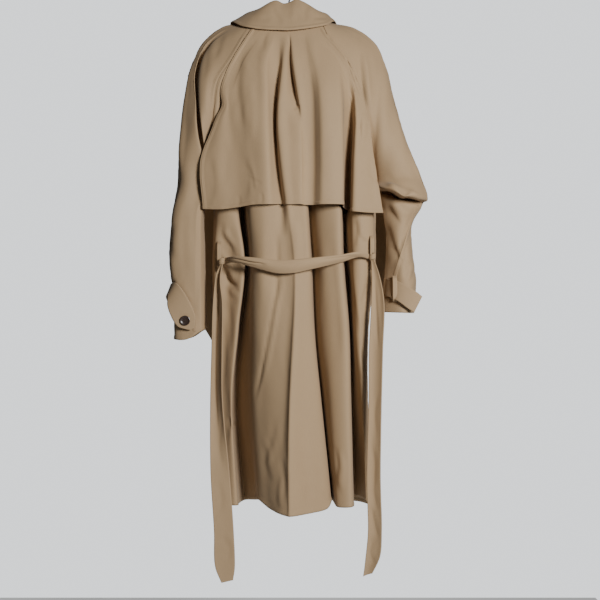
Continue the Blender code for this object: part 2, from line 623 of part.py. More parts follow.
def loop_on(name, surface, x, top, bottom, half_width, stand, facing):
    """A short strip, sewn down at its top and its bottom, that stands off the cloth between them.
    Returns how far out its middle stands."""
    table = []
    for share, rise in LOOP_ARCH:
        z = top + (bottom - top) * share
        hits = [
            surface.ray_cast(Vector(((x + edge) * MM, facing, z * MM)), Vector((0, -facing, 0)))[0].y / MM
            for edge in (-half_width, half_width)
        ]
        y = facing * max(facing * hit for hit in hits)
        table.append(((x, y + facing * (LOOP_SEAT + stand * rise), z), (half_width, 0, 0), 0))
    cloth(name, ribbon(table, 2, 2))
    return table[len(table) // 2][0][1]


loop_on("cuff_keeper_right", surface_of([sleeves["right"]]), 239, -685, -751, 4, 9.5, facing=-1)
loop_on("cuff_keeper_left", surface_of([sleeves["left"]]), -247, -706, -765, 4, 8, facing=1)


# ---------------------------------------------------------------- belt and its loops

# Loops on the sides of the back: x, top, bottom
BELT_LOOPS = {"left": (-157, -606, -676), "right": (187, -594, -668)}
BELT_LOOP_HALF_WIDTH = 4.5
BELT_LOOP_STAND = 10
loop_fronts = {
    side: loop_on(f"belt_loop_{side}", surface_of([back]), x, top, bottom, BELT_LOOP_HALF_WIDTH,
                  BELT_LOOP_STAND, facing=-1)
    for side, (x, top, bottom) in BELT_LOOPS.items()
}

# Knots, where the belt is gathered and tied round itself, close against the loops:
# middle x and z, radius, half height
BELT_KNOTS = {"left": (-148, -652, 9.0, 8.5), "right": (187, -646, 7.5, 7.0)}
KNOT_TURN = 320                            # degrees of the wrap, which is open towards the loop
KNOT_PIECES = 8
KNOT_LEAN = 0.8                            # rise of each piece of the turn
KNOT_SWELL = [0.72, 0.95, 1.05, 0.95, 0.72]
BELT_GAP = 0.4                             # between the knot and what it ties


def knot(side):
    """The wrap of the knot: a short length of gathered belt, bent round the rest. Returns its
    middle and its outer radius."""
    x, z, radius, half_height = BELT_KNOTS[side]
    outer = radius * max(KNOT_SWELL) + CLOTH / MM / 2
    mouth = outer * math.sin(math.radians(180 - KNOT_TURN / 2))
    aside = max(abs(x - BELT_LOOPS[side][0]) - BELT_LOOP_HALF_WIDTH, mouth)
    y = loop_fronts[side] - CLOTH / MM / 2 - BELT_GAP - math.sqrt(outer ** 2 - aside ** 2)
    table = []
    for k in range(KNOT_PIECES + 1):
        turn = math.radians(90 + (360 - KNOT_TURN) / 2 + KNOT_TURN * k / KNOT_PIECES)
        rise = (k - KNOT_PIECES / 2) * KNOT_LEAN
        place = (x + math.cos(turn) * radius, y + math.sin(turn) * radius, z + rise)
        table.append((place, (0, 0, half_height), 0))
    grid = ribbon(table, 2, len(KNOT_SWELL))
    heart = np.array([x, y]) * MM
    grid[..., :2] = heart + (grid[..., :2] - heart) * np.array(KNOT_SWELL)[None, :, None]
    cloth(f"belt_knot_{side}", grid)
    return (x, y, z), outer


knots = {side: knot(side) for side in BELT_KNOTS}

# Stations of the span across the back, between the knots: middle (x, y, z), half width (x, y, z), cup
(left_knot, left_outer), (right_knot, right_outer) = knots["left"], knots["right"]
BELT_SPAN = [
    ((left_knot[0] + left_outer + BELT_GAP, left_knot[1], left_knot[2] + 2), (0, 2, -6), 0),
    ((-122, -86, -648), (0, 4, -8), -3), ((-98, -101, -651), (0, 5, -9), -6),
    ((-58, -112, -659), (0, 4, -13), -8), ((-23, -116, -664), (0, 2, -15), -8),
    ((14, -118, -663), (0, 2, -14), -8), ((50, -115, -657), (0, 2, -12), -7),
    ((113, -104, -646), (0, 3, -9), -5), ((152, -88, -641), (0, 4, -8), -3),
    ((right_knot[0] - right_outer - BELT_GAP, right_knot[1], right_knot[2] + 2), (0, 2, -6), 0),
]
cloth("belt_span", ribbon(BELT_SPAN, 2, 5))

# Tails, below their starts inside the knots
TAIL_START = 3                             # below the knot's middle
TAIL_START_HALF = {"left": (-2.1, 1.5, 0), "right": (-2.8, 2.0, 0)}
BELT_TAILS = {
    "left": [((-162, -72, -738), (-12, 8, 0), 12),
             ((-162, -72, -961), (-13, 8, 0), 12), ((-153, -76, -1120), (-21, 1, 0), 2),
             ((-144, -80, -1249), (-22, 0, 0), 1), ((-141, -82, -1330), (-22, 0, 0), 1),
             ((-136, -83, -1362), (-13, 0, -3), 0)],
    "right": [((196, -68, -738), (-14, 5, 0), 6),
              ((195, -68, -850), (-15, 5, 0), 6), ((193, -68, -961), (-14, 5, 0), 6),
              ((190, -68, -1140), (-15, 5, 0), 6), ((192, -70, -1260), (-15, 5, 0), 5),
              ((186, -72, -1320), (-16, 5, -8), 4), ((176, -74, -1350), (-10, 2, -4), 2)],
}
for side, table in BELT_TAILS.items():
    x, y, z = knots[side][0]
    cloth(f"belt_tail_{side}", ribbon([((x, y, z - TAIL_START), TAIL_START_HALF[side], 0), *table], 3, 5))


# ---------------------------------------------------------------- buttons

BUTTON_RADIUS = 11.3 * MM
BUTTON_THICK = 3 * MM
BUTTON_SEAT = 2.2 * MM                     # from the middle of the cloth to that of the button
FRONT_BUTTON_SEAT = 2.4
BUTTON_BACK = 0.88                         # radius of its back as a share of the front's
BUTTON_EDGE = 0.8                          # height of its side as a share of its thickness
BUTTON_RIM = 0.3                           # width of the rim as a share of the radius
BUTTON_DISH = 0.15                         # depth of the dish as a share of its thickness
EPAULETTE_BUTTON_RADIUS = 9 * MM
EPAULETTE_BUTTON_ROWS = 0.45


def button(name, middle, facing, radius=BUTTON_RADIUS):
    """A turned disc with a raised rim."""
    mesh = bpy.data.meshes.new(name)
    disc = bmesh.new()
    bmesh.ops.create_cone(disc, cap_ends=True, segments=20, radius1=radius * BUTTON_BACK, radius2=radius,
                          depth=BUTTON_THICK * BUTTON_EDGE)
    top = max((face for face in disc.faces), key=lambda face: face.calc_center_median().z)
    bmesh.ops.inset_individual(disc, faces=[top], thickness=radius * BUTTON_RIM,
                               depth=-BUTTON_THICK * BUTTON_DISH)
    disc.to_mesh(mesh)
    disc.free()
    piece = bpy.data.objects.new(name, mesh)
    coat.objects.link(piece)
    mesh.materials.append(BUTTON_HORN)
    piece.location = Vector(middle) * MM
    piece.rotation_euler = Vector(facing).to_track_quat("Z", "Y").to_euler()
    return piece


button("cuff_button_left", (-232, -63.1, -784), (0.05, -1, 0.0))
button("cuff_button_right", (278, -57.4, -741), (0.0, 1, 0.0))
for side, (first, last, rise, middle) in EPAULETTES.items():
    row, reach = first + EPAULETTE_BUTTON_ROWS, middle * MM
    seat = off_sleeve(side, row, reach, EPAULETTE_SEAT + EPAULETTE_ARCH + BUTTON_SEAT)
    facing = seat - off_sleeve(side, row, reach, 0)
    button(f"epaulette_button_{side}", seat / MM, facing, EPAULETTE_BUTTON_RADIUS)
front_surface = surface_of([front_left])
FRONT_BUTTONS = {"columns": (-40, 52), "rows": (-455, -570, -685)}
for row, z in enumerate(FRONT_BUTTONS["rows"]):
    for column, x in enumerate(FRONT_BUTTONS["columns"]):
        y = front_surface.ray_cast(Vector((x * MM, 1, z * MM)), Vector((0, -1, 0)))[0].y / MM
        button(f"front_button_{row + 1}_{column + 1}", (x, y + FRONT_BUTTON_SEAT, z), (0, 1, 0))


# ---------------------------------------------------------------- hanger

HOOK_WIRE = 2.0 * MM
HOOK_RADIUS = 16.0 * MM      # inside of the crown
HANGER_HALF_HEIGHT = 9 * MM
HANGER_HALF_DEPTH = 7 * MM
HANGER_CONTACT = CLOTH / 2 + 0.2 * MM
HANGER_TIP = 190 * MM
HANGER_ROUND_END = 12 * MM      # length over which each end rounds off
HANGER_BLUNT = 0.05             # how blunt the very end stays
HANGER_FACETS = 12
HANGER_NECK = -107 * MM         # top of the shoulders inside the neck
HANGER_STATIONS = 24
CLOTH_PROBE = 0.6               # share of the bar's half depth at which the cloth over it is felt
STEM = [(0, -106.6), (0, -75), (0, -52), (3.5, -42), (11, -33.5)]   # x and z, up to the crown
CROWN_FROM, CROWN_TO = -40, 195             # degrees round the crown, from the stem to the open tip
CROWN_PIECES = 14


def hook():
    """A bent wire: a straight stem, then an open crown whose inside is the origin."""
    path = bpy.data.curves.new("hanger_hook", "CURVE")
    path.dimensions = "3D"
    path.bevel_depth = HOOK_WIRE
    path.bevel_resolution = 3
    path.use_fill_caps = True
    bend = HOOK_RADIUS + HOOK_WIRE
    points = [(x * MM, z * MM) for x, z in STEM]
    for turn in np.radians(np.linspace(CROWN_FROM, CROWN_TO, CROWN_PIECES + 1)):
        points.append((math.cos(turn) * bend, math.sin(turn) * bend - HOOK_RADIUS))
    spline = path.splines.new("POLY")
    spline.points.add(len(points) - 1)
    for point, (x, z) in zip(spline.points, points):
        point.co = (x, 0, z, 1)
    piece = bpy.data.objects.new("hanger_hook", path)
    coat.objects.link(piece)
    path.materials.append(HOOK_STEEL)


def hanger():
    """The shoulders: rings of an oval bar that lies just inside the cloth of the sleeves' tops."""
    tops = surface_of([sleeves["left"], sleeves["right"]])
    rings = []
    for k in range(HANGER_STATIONS + 1):
        x = HANGER_TIP * (2 * k / HANGER_STATIONS - 1)
        cloth_over = [HANGER_NECK + HANGER_CONTACT]
        for mirror in (1, -1):
            for y in (-CLOTH_PROBE, 0, CLOTH_PROBE):
                above = Vector((x * mirror, y * HANGER_HALF_DEPTH, 0.1))
                hit = tops.ray_cast(above, Vector((0, 0, -1)))[0]
                if hit is not None:
                    cloth_over.append(hit.z)
        top = min(cloth_over) - HANGER_CONTACT
        end = max(0, 1 - (HANGER_TIP - abs(x)) / HANGER_ROUND_END)
        shrink = math.sqrt(max(1 - end ** 2, HANGER_BLUNT))
        half = HANGER_HALF_HEIGHT * shrink
        deep = HANGER_HALF_DEPTH * shrink
        rings.append([
            (x, math.sin(turn) * deep, top - half + math.cos(turn) * half)
            for turn in (2 * math.pi * n / HANGER_FACETS for n in range(HANGER_FACETS))
        ])
    return rings


def lofted(name, rings, material):
    """A closed solid through rings of points."""
    mesh = bpy.data.meshes.new(name)
    solid = bmesh.new()
    loops = [[solid.verts.new(point) for point in ring] for ring in rings]
    for one, two in zip(loops, loops[1:]):
        for n in range(len(one)):
            m = (n + 1) % len(one)
            solid.faces.new((one[n], two[n], two[m], one[m]))
    solid.faces.new(loops[0])
    solid.faces.new(list(reversed(loops[-1])))
    bmesh.ops.recalc_face_normals(solid, faces=solid.faces)
    solid.to_mesh(mesh)
    solid.free()
    piece = bpy.data.objects.new(name, mesh)
    coat.objects.link(piece)
    mesh.materials.append(material)
    mesh.shade_smooth()


lofted("hanger_shoulders", hanger(), HANGER_PLASTIC)
hook()
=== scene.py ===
"""Looks of a belted trench coat with raglan sleeves and a storm flap, on a coat hanger.

Metres, +Z up. The coat's back faces -Y, and the wearer's right arm is at +X. Tables are in
millimetres unless they say otherwise.
"""

import bpy
import bmesh
import math
import numpy as np
from mathutils import Matrix, Vector
from mathutils.bvhtree import BVHTree


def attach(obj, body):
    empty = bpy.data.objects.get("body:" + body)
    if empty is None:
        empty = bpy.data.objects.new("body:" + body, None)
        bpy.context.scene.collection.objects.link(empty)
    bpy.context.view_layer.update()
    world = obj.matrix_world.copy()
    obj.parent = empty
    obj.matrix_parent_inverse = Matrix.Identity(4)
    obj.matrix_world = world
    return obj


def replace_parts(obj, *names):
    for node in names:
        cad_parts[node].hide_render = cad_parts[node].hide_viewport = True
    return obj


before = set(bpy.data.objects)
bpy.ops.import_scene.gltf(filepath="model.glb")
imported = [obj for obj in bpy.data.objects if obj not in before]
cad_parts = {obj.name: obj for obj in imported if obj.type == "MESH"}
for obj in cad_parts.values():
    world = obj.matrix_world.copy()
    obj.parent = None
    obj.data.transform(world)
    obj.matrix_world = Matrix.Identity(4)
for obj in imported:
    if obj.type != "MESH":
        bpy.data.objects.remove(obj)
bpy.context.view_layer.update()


# ---------------------------------------------------------------- back
# The back is one piece of cotton gabardine from the neck to the hem, sewn to the raglan sleeves
# and to the two fronts. Below the belt it falls in deep folds, and its hem is turned and stitched.

MM = 0.001
TO_BACK, TO_FRONT = (0, -1, 0), (0, 1, 0)      # the ways in which the coat's outside faces
OUT_OF_BODY = {"left": -1, "right": 1}         # along X, on each side of the coat
CLOTH = 1.2 * MM               # wall of the cloth, seams and interlining taken together
SEAM_GAP = 0.4 * MM            # between the walls of two pieces at their seam
YOKE_ROWS = 7                  # rows of each table from the neck seam to the armpit

# Seam lines of the shoulders, from the neck seam to the armpit: (x, y, z)
RAGLAN_BACK = {
    "left": [(-72, -30, -101), (-89, -44, -131), (-109, -54, -165), (-137, -61, -216),
             (-158, -61, -248), (-168, -56, -300), (-177, -32, -385), (-181, 10, -465)],
    "right": [(70, -30, -101), (81, -44, -130), (99, -54, -161), (132, -60, -203),
              (151, -60, -240), (165, -55, -300), (184, -30, -385), (199, 10, -462)],
}
RAGLAN_FRONT = {
    "left": [(-78, 30, -108), (-92, 44, -138), (-118, 54, -185), (-146, 62, -250),
             (-165, 62, -320), (-177, 46, -400), (-181, 10, -465)],
    "right": [(76, 30, -108), (90, 44, -138), (114, 54, -185), (142, 62, -250),
              (166, 62, -320), (186, 44, -400), (199, 10, -462)],
}

# Heights of the tables below the armpit
CHEST, WAIST, HIP, KNEE, HEM = -545, -652, -806, -962, -1200
LEVELS = (CHEST, WAIST, HIP, KNEE, HEM)

# One row a fold line of the back, from the left side seam to the right one:
# name, x at the chest, waist, hip, knee and hem, depth (-y) at the same, drop of the hem
BACK_FOLDS = [
    ("side seam",       (-173, -177, -178, -177, -175), (-5, -10, -15, -15, -20), -15),
    ("side, outside",   (-162, -168, -170, -170, -168), (35, 32, 28, 28, 28), -8),
    ("side, middle",    (-136, -132, -141, -148, -144), (50, 38, 36, 36, 40), -2),
    ("side, edge",      (-116, -102, -116, -129, -118), (48, 54, 54, 52, 50), 0),
    ("gully 1, wall",   (-113, -102, -117, -131, -116), (20, 15, 6, 0, -5), -6),
    ("gully 1, floor",  (-107, -98, -112, -124, -106),  (-18, -22, -32, -42, -50), -8),
    ("gully 1, rise",   (-98, -90, -94, -99, -76),      (22, 20, 14, 10, -2), 4),
    ("panel 1, edge",   (-85, -81, -80, -78, -68),      (75, 70, 62, 60, 50), 14),
    ("panel 1",         (-58, -58, -61, -58, -42),      (90, 90, 84, 78, 82), 0),
    ("trough",          (-30, -24, -20, -20, -17),      (90, 89, 99, 105, 115), -6),
    ("main ridge, left", (-2, 9, 9, 1, -1),             (96, 98, 110, 119, 129), -8),
    ("main ridge",      (2, 13, 13, 4, 2),              (98, 101, 114, 123, 133), -8),
    ("panel 2",         (25, 32, 34, 36, 45),           (96, 96, 102, 104, 104), -7),
    ("panel 2, rim",    (38, 44, 50, 65, 86),           (93, 92, 90, 84, 76), -2),
    ("panel 2, edge",   (43, 49, 56, 71, 95),           (84, 82, 79, 73, 60), 10),
    ("gully 2, wall",   (44, 50, 57, 72, 96),           (56, 54, 50, 42, 28), 8),
    ("gully 2, floor",  (48, 54, 61, 75, 99),           (26, 20, 12, 2, -6), 4),
    ("gully 2, rise",   (60, 66, 73, 85, 105),          (58, 56, 52, 46, 44), 3),
    ("panel 3, edge",   (77, 80, 91, 99, 112),          (76, 75, 72, 70, 70), 0),
    ("panel 3",         (113, 116, 128, 132, 138),      (88, 86, 84, 82, 80), 2),
    ("gully 3, wall",   (120, 123, 135, 140, 147),      (40, 35, 30, 20, 0), 2),
    ("gully 3, floor",  (128, 132, 143, 147, 155),      (-30, -36, -38, -42, -48), 2),
    ("side, edge",      (144, 146, 152, 163, 175),      (50, 50, 38, 15, -12), 2),
    ("side, middle",    (164, 162, 162, 168, 178),      (56, 56, 44, 25, 2), 0),
    ("side, outside",   (188, 188, 177, 178, 184),      (40, 40, 25, 8, -12), -8),
    ("side seam",       (198, 198, 182, 181, 186),      (-5, -5, -8, -15, -28), -14),
]
FOLD_FADE = [0, 0, 0, 0.05, 0.2, 0.45, 0.7, 0.85]       # how far the folds have opened, row by row
NECK_DEPTH, BLADE_DEPTH = 36, 76       # of the yoke's middle, at the neck and the shoulder blades
BLADE_ROW = YOKE_ROWS / 1.2            # row of the shoulder blades

# Creases of the back: where they run (x, z), half width, depth (less than 0 is a ridge)
BACK_CREASES = [
    ([(-19, -679), (-30, -740), (-44, -820), (-60, -900), (-75, -962)], 3.6, 3.6),
    ([(-14, -690), (-25, -745), (-38, -820), (-54, -900)], 6.0, -1.2),
    ([(-25, -590), (-24, -640), (-25, -690), (-28, -740)], 4.5, 2.8),
    ([(-30, -540), (-34, -600), (-26, -660)], 14, -1.6),
    ([(12, -560), (20, -610), (17, -650)], 9, -1.8),
    ([(2, -700), (-2, -800), (-8, -900), (-12, -1010), (-20, -1150)], 11, 3.2),
    ([(15, -690), (13, -780), (8, -890), (3, -1000), (3, -1190)], 3.0, -1.3),
    ([(-30, -990), (-36, -1040), (-50, -1090), (-43, -1130), (-30, -1150)], 6, 1.5),
    ([(-52, -1045), (-40, -1085), (-48, -1110)], 5, -1.1),
    ([(-14, -1080), (-8, -1130), (-12, -1180)], 6, 1.8),
    ([(-22, -1120), (-27, -1165), (-24, -1195)], 5, 1.6),
    ([(30, -1010), (36, -1080), (33, -1150)], 12, 1.6),
    ([(58, -1000), (64, -1090), (60, -1170)], 14, 1.4),
    ([(46, -1110), (48, -1150), (45, -1190)], 6, 1.4),
    ([(104, -1060), (110, -1100), (106, -1140), (114, -1170)], 5, 2.6),
    ([(112, -1070), (121, -1110), (118, -1160)], 5, -1.8),
    ([(96, -600), (100, -680), (108, -780), (112, -880)], 7, 1.6),
    ([(110, -560), (112, -610), (108, -660)], 8, -1.4),
    ([(-152, -560), (-148, -590), (-134, -612), (-124, -640)], 6, 2.6),
    ([(-146, -575), (-137, -598), (-122, -615)], 5, -2.2),
    ([(-162, -634), (-150, -660), (-139, -682), (-132, -698), (-116, -710)], 6.0, 9.0),
    ([(-138, -650), (-126, -670), (-118, -692)], 7, -3.6),
    ([(-150, -676), (-145, -690), (-147, -706)], 3.5, -2.6),
    ([(-150, -664), (-146, -690), (-141, -712), (-136, -740)], 6, 3.6),
    ([(-128, -712), (-122, -722), (-110, -728)], 4, -2.6),
    ([(-160, -588), (-150, -600), (-141, -620), (-136, -644)], 9, 4.0),
    ([(-146, -608), (-138, -622), (-134, -640)], 4, -2.0),
    ([(150, -545), (151, -580), (149, -622)], 4.0, 3.0),
    ([(139, -655), (142, -700), (150, -760), (156, -820)], 4.5, 2.4),
    ([(-138, -740), (-132, -790), (-134, -850)], 7, 1.8),
    ([(-150, -780), (-146, -860), (-152, -940)], 6, 1.6),
    ([(-140, -940), (-136, -1010), (-146, -1070)], 7, 1.6),
    ([(-134, -1000), (-131, -1022), (-122, -1030)], 4, 2.0),
    ([(152, -560), (158, -590), (170, -606), (182, -612)], 6, 2.4),
    ([(160, -575), (168, -596), (180, -600)], 4, -1.8),
    ([(183, -664), (176, -700), (168, -740), (160, -790)], 5, 3.0),
    ([(178, -668), (170, -706), (158, -742)], 5, -2.0),
    ([(186, -690), (182, -740), (180, -800)], 5, 2.6),
    ([(174, -760), (166, -810), (170, -860), (176, -900)], 6, 2.4),
    ([(160, -830), (168, -870), (164, -920)], 5, 2.0),
]

# Deep folds of the back that go on under the storm flap, in the same columns
UNDER_FLAP = [
    ([(138, -290), (136, -350), (133, -420), (131, -480), (130, -536)], 13, 52),
    ([(-28, -180), (-28, -240), (-28, -330), (-27, -420), (-16, -520), (-14, -600)], 8, 14),
    ([(64, -180), (64, -300), (65, -420), (66, -540)], 10, 8),
    ([(-143, -258), (-149, -290), (-154, -325), (-167, -365), (-178, -405)], 4.5, 13),
]

GRAIN = {"across": 34, "down": 150, "height": 1.0}      # long soft drag lines of hanging cloth
RIPPLE = {"across": 13, "down": 46, "height": 0.28}     # the small unevenness of worn gabardine
SWAY = 0.6                     # how far both wander sideways, as a share of their width
CREASE_SIDES = (1.5, 0.8)      # how far a crease reaches to each side, in half widths
# The low ridge beside a crease: its height as a share of the depth, the others in half widths
CREASE_RIDGE = {"height": 0.35, "place": -1.9, "width": 0.9}
CREASE_ENDS = 1.3              # how fast a crease deepens from its ends

SEAM_BAND = 8.6                # width of the two layers of cloth pressed along a seam
BAND_RISE = 0.9
BAND_REACH = 12                # from a seam, past which the sheet is left as it is
STITCH_ROWS = (1.6, 7.0)       # distances of the two rows of topstitching from a seam
HEM_STITCH = 7.0               # distance of the one row from a hem or a front edge
STITCH_DIP = 0.55              # how far each row draws the band in
STITCH_DIP_WIDTH = 0.6
PUCKER_LENGTH = 9
PUCKER = {"band": 0.5, "dip": 0.7}     # how uneven the band and its dips are, as shares of them
THREAD_LIFT = 0.05 * MM        # of the middle of the thread over the cloth
BAND_COLUMNS = [0, 0.8, 1.6, 2.4, 4.2, 6.2, 7.0, 7.8, 8.8, 11, 14.5]
BAND_MARGIN = 3                # from the band's last column to the next one
BAND_BLEND = 45                # length beside a seam in which the columns are drawn together
SEAM_PROBE = 4 * MM            # how far from a seam its pieces' directions are taken

FINE = 12                      # steps from each fold line to the next, before the columns are cut
BACK_COLUMN = 6.4 * MM         # width of a column
YOKE_STEPS = 9
SKIRT_STEPS = [14, 26, 34, 34, 50]
BACK_SEED, BACK_PUCKER_SEED = 2, 4     # of the small unevenness, and of the puckered seams


def curve_through(points, steps, closed=False):
    """Points on the smooth (centripetal) curves through rows of points, with a number of steps
    in each span."""
    points = np.asarray(points, float)
    if closed:
        before, after = points[-2:-1], points[1:2]
    else:
        before, after = 2 * points[:1] - points[1:2], 2 * points[-1:] - points[-2:-1]
    ends = np.concatenate([before, points, after])
    spans = len(points) - 1
    steps = [steps] * spans if isinstance(steps, int) else list(steps)
    gaps = np.maximum(np.linalg.norm(np.diff(ends, axis=0), axis=-1, keepdims=True), 1e-7) ** 0.5
    run = []
    for k in range(spans):
        a, b, c, d = ends[k:k + 4]
        at_b = gaps[k]
        at_c = at_b + gaps[k + 1]
        at_d = at_c + gaps[k + 2]
        for step in range(steps[k]):
            t = at_b + (at_c - at_b) * step / steps[k]
            ab = a + (b - a) * t / at_b
            bc = b + (c - b) * (t - at_b) / (at_c - at_b)
            cd = c + (d - c) * (t - at_c) / (at_d - at_c)
            abc = ab + (bc - ab) * t / at_c
            bcd = bc + (cd - bc) * (t - at_b) / (at_d - at_b)
            run.append(abc + (bcd - abc) * (t - at_b) / (at_c - at_b))
    run.append(points[-1])
    return np.array(run)


def lengths_along(run):
    """Length along each run of points, from its start."""
    steps = np.linalg.norm(np.diff(run, axis=0), axis=-1)
    return np.concatenate([np.zeros_like(steps[:1]), np.cumsum(steps, axis=0)])


def lengths_across(grid):
    """Length along each row of a sheet, from its first edge."""
    return np.swapaxes(lengths_along(np.swapaxes(grid, 0, 1)), 0, 1)


def points_at(places, length, run):
    """The points, or other values, of a run at some places along its length."""
    return np.stack([np.interp(places, length, run[:, axis]) for axis in range(3)], axis=-1)


def evenly(points, count):
    """The smooth curve through the points, cut into count equal lengths."""
    run = curve_through(points, FINE)
    length = lengths_along(run)
    return points_at(np.linspace(0, length[-1], count + 1), length, run)


def across_each_row(net, steps, closed=False):
    """A net of sections, made finer across its sections only."""
    columns = np.swapaxes(np.asarray(net, float), 0, 1)
    return np.swapaxes(curve_through(columns, steps, closed), 0, 1)


def column_plan(net, spacing):
    """Places of the columns in a finer row, from 0 to 1, for columns about one spacing apart and
    at least two to each span between fold lines."""
    widths = np.linalg.norm(np.diff(net, axis=1), axis=2).max(axis=0)
    places = []
    for span, width in enumerate(widths):
        steps = max(2, math.ceil(width / spacing))
        places += [(span + k / steps) / len(widths) for k in range(steps)]
    return np.array(places + [1.0])


def recolumned(dense, columns, left=0.0, right=0.0, band_left=True):
    """Rows of cloth cut again into columns. They start and end a trim short of the edges, are
    close together in the bands along the seams, and keep their places elsewhere."""
    band, blend = np.array(BAND_COLUMNS) * MM, BAND_BLEND * MM
    left, right = (np.broadcast_to(trim, len(dense)) for trim in (left, right))
    out = []
    for row, cut_left, cut_right in zip(dense, left, right):
        length = lengths_along(row)
        total = length[-1]
        places = np.interp(columns, np.linspace(0, 1, len(row)), length)
        for near, cut, banded in ((True, cut_left, band_left), (False, cut_right, True)):
            reach = places if near else total - places
            start = cut + (band[-1] + BAND_MARGIN * MM if banded else 0)
            reach = np.where(reach < blend, start + reach * (1 - start / blend), reach)
            places = reach if near else total - reach
        first = cut_left + band if band_left else []
        places = np.concatenate([first, places, total - cut_right - band[::-1]])
        out.append(points_at(places, length, row))
    return np.array(out)


def rerowed(grid):
    """A sheet cut again into as many rows as it has, and more in the band along its hem."""
    rows = np.linspace(0, 1, len(grid))
    return np.swapaxes(recolumned(np.swapaxes(grid, 0, 1), rows, band_left=False), 0, 1)


def seam_allowance(edge, one, other):
    """How far two pieces stop short of their shared edge, row by row, for their walls to stay
    apart. A place a little way into each says in which direction it leaves the edge."""
    one, other = one - edge, other - edge
    cosine = (one * other).sum(axis=1) / np.linalg.norm(one, axis=1) / np.linalg.norm(other, axis=1)
    half = np.arccos(np.clip(cosine, -0.98, 0.98)) / 2
    return SEAM_GAP / 2 / np.sin(half) + CLOTH / 2 / np.tan(half)


def into(dense, near):
    """A place in each row, a little way in from its first or last edge."""
    rows = dense if near else dense[:, ::-1]
    return np.array([points_at(SEAM_PROBE, lengths_along(row), row) for row in rows])


def noise(u, v, seed):
    """Smooth noise from -1 to 1 on a lattice with one cell to a unit."""
    def corner(i, j):
        wave = np.sin(i * 127.1 + j * 311.7 + seed * 74.7) * 43758.5453
        return 2 * (wave - np.floor(wave)) - 1
    i, j = np.floor(u), np.floor(v)
    fu, fv = u - i, v - j
    fu, fv = fu * fu * (3 - 2 * fu), fv * fv * (3 - 2 * fv)
    low = corner(i, j) * (1 - fu) + corner(i + 1, j) * fu
    high = corner(i, j + 1) * (1 - fu) + corner(i + 1, j + 1) * fu
    return low * (1 - fv) + high * fv


def outward(grid, facing):
    """Unit normals of a sheet, on the side that mostly looks towards facing."""
    normal = np.cross(np.gradient(grid, axis=1), np.gradient(grid, axis=0))
    normal /= np.maximum(np.linalg.norm(normal, axis=2, keepdims=True), 1e-12)
    return normal * (1 if (normal @ np.array(facing)).sum() > 0 else -1)


def cloth_map(grid):
    """Lengths across and down the cloth, in metres, for its weave and its small folds."""
    across = lengths_across(grid)
    across = across - across[:, across.shape[1] // 2][:, None]
    down = lengths_along(grid)
    down = np.broadcast_to(down.mean(axis=1, keepdims=True), down.shape)
    return across, down


def crease(x, z, path, half_width, depth):
    """How far a crease presses the cloth in: a soft trough with a low ridge beside it,
    which fades out at both ends. A depth below 0 makes a ridge."""
    path = curve_through(np.array([(px, 0, pz) for px, pz in path], float) * MM, 6)[:, [0, 2]]
    along = lengths_along(path)
    best = np.full(x.shape, 1e9)
    place = np.zeros(x.shape)
    side = np.zeros(x.shape)
    for k in range(len(path) - 1):
        a, step = path[k], path[k + 1] - path[k]
        size = np.linalg.norm(step)
        t = np.clip(((x - a[0]) * step[0] + (z - a[1]) * step[1]) / size ** 2, 0, 1)
        dx, dz = x - a[0] - step[0] * t, z - a[1] - step[1] * t
        distance = np.hypot(dx, dz)
        closer = distance < best
        best = np.where(closer, distance, best)
        place = np.where(closer, (along[k] + size * t) / along[-1], place)
        side = np.where(closer, np.sign(dx * step[1] - dz * step[0]), side)
    across = best * side / (half_width * MM)
    fade = np.clip(4 * place * (1 - place) * CREASE_ENDS, 0, 1)
    one, other = CREASE_SIDES
    trough = np.exp(-np.where(across > 0, across / one, across / other) ** 2)
    ridge = CREASE_RIDGE
    beside = ridge["height"] * np.exp(-((across - ridge["place"]) / ridge["width"]) ** 2)
    return -depth * MM * fade * (trough - beside)


def lived_in(grid, facing, seed, creases=(), grain=1.0, keep=None):
    """The sheet with its creases, drag lines and small unevenness. keep is a share of them for
    each point, from 0 to 1."""
    normal = outward(grid, facing)
    u, v = cloth_map(grid)
    lift = np.zeros(grid.shape[:2])
    for layer in (GRAIN, RIPPLE):
        swing = noise(v / (layer["down"] * 2 * MM), u * 0, seed + 5) * layer["across"] * SWAY * MM
        lift += grain * layer["height"] * MM * noise(
            (u + swing) / (layer["across"] * MM), v / (layer["down"] * MM), seed)
    for path, half_width, depth in creases:
        lift += crease(grid[..., 0], grid[..., 2], path, half_width, depth)
    if keep is not None:
        lift *= keep
    return grid + normal * lift[..., None]


def nudged(grid, axis, places):
    """The sheet with soft local moves along one axis: (x, z, half width, half height, move)."""
    moved = grid.copy()
    for x, z, half_width, half_height, move in np.array(places, float) * MM:
        aside, upwards = (grid[..., 0] - x) / half_width, (grid[..., 2] - z) / half_height
        moved[..., axis] += move * np.exp(-aside ** 2 - upwards ** 2)
    return moved


def band_lift(distance, pucker):
    """Height of the pressed band along a seam or a hem, with its two stitched dips."""
    distance = distance / MM
    edge = np.clip(SEAM_BAND - distance, 0, 1)
    rise = BAND_RISE * edge * edge * (3 - 2 * edge)
    dips = sum(np.exp(-((distance - row) / STITCH_DIP_WIDTH) ** 2) for row in STITCH_ROWS)
    dips *= STITCH_DIP
    return (rise * (1 + PUCKER["band"] * pucker) - dips * (1 + PUCKER["dip"] * pucker)) * MM


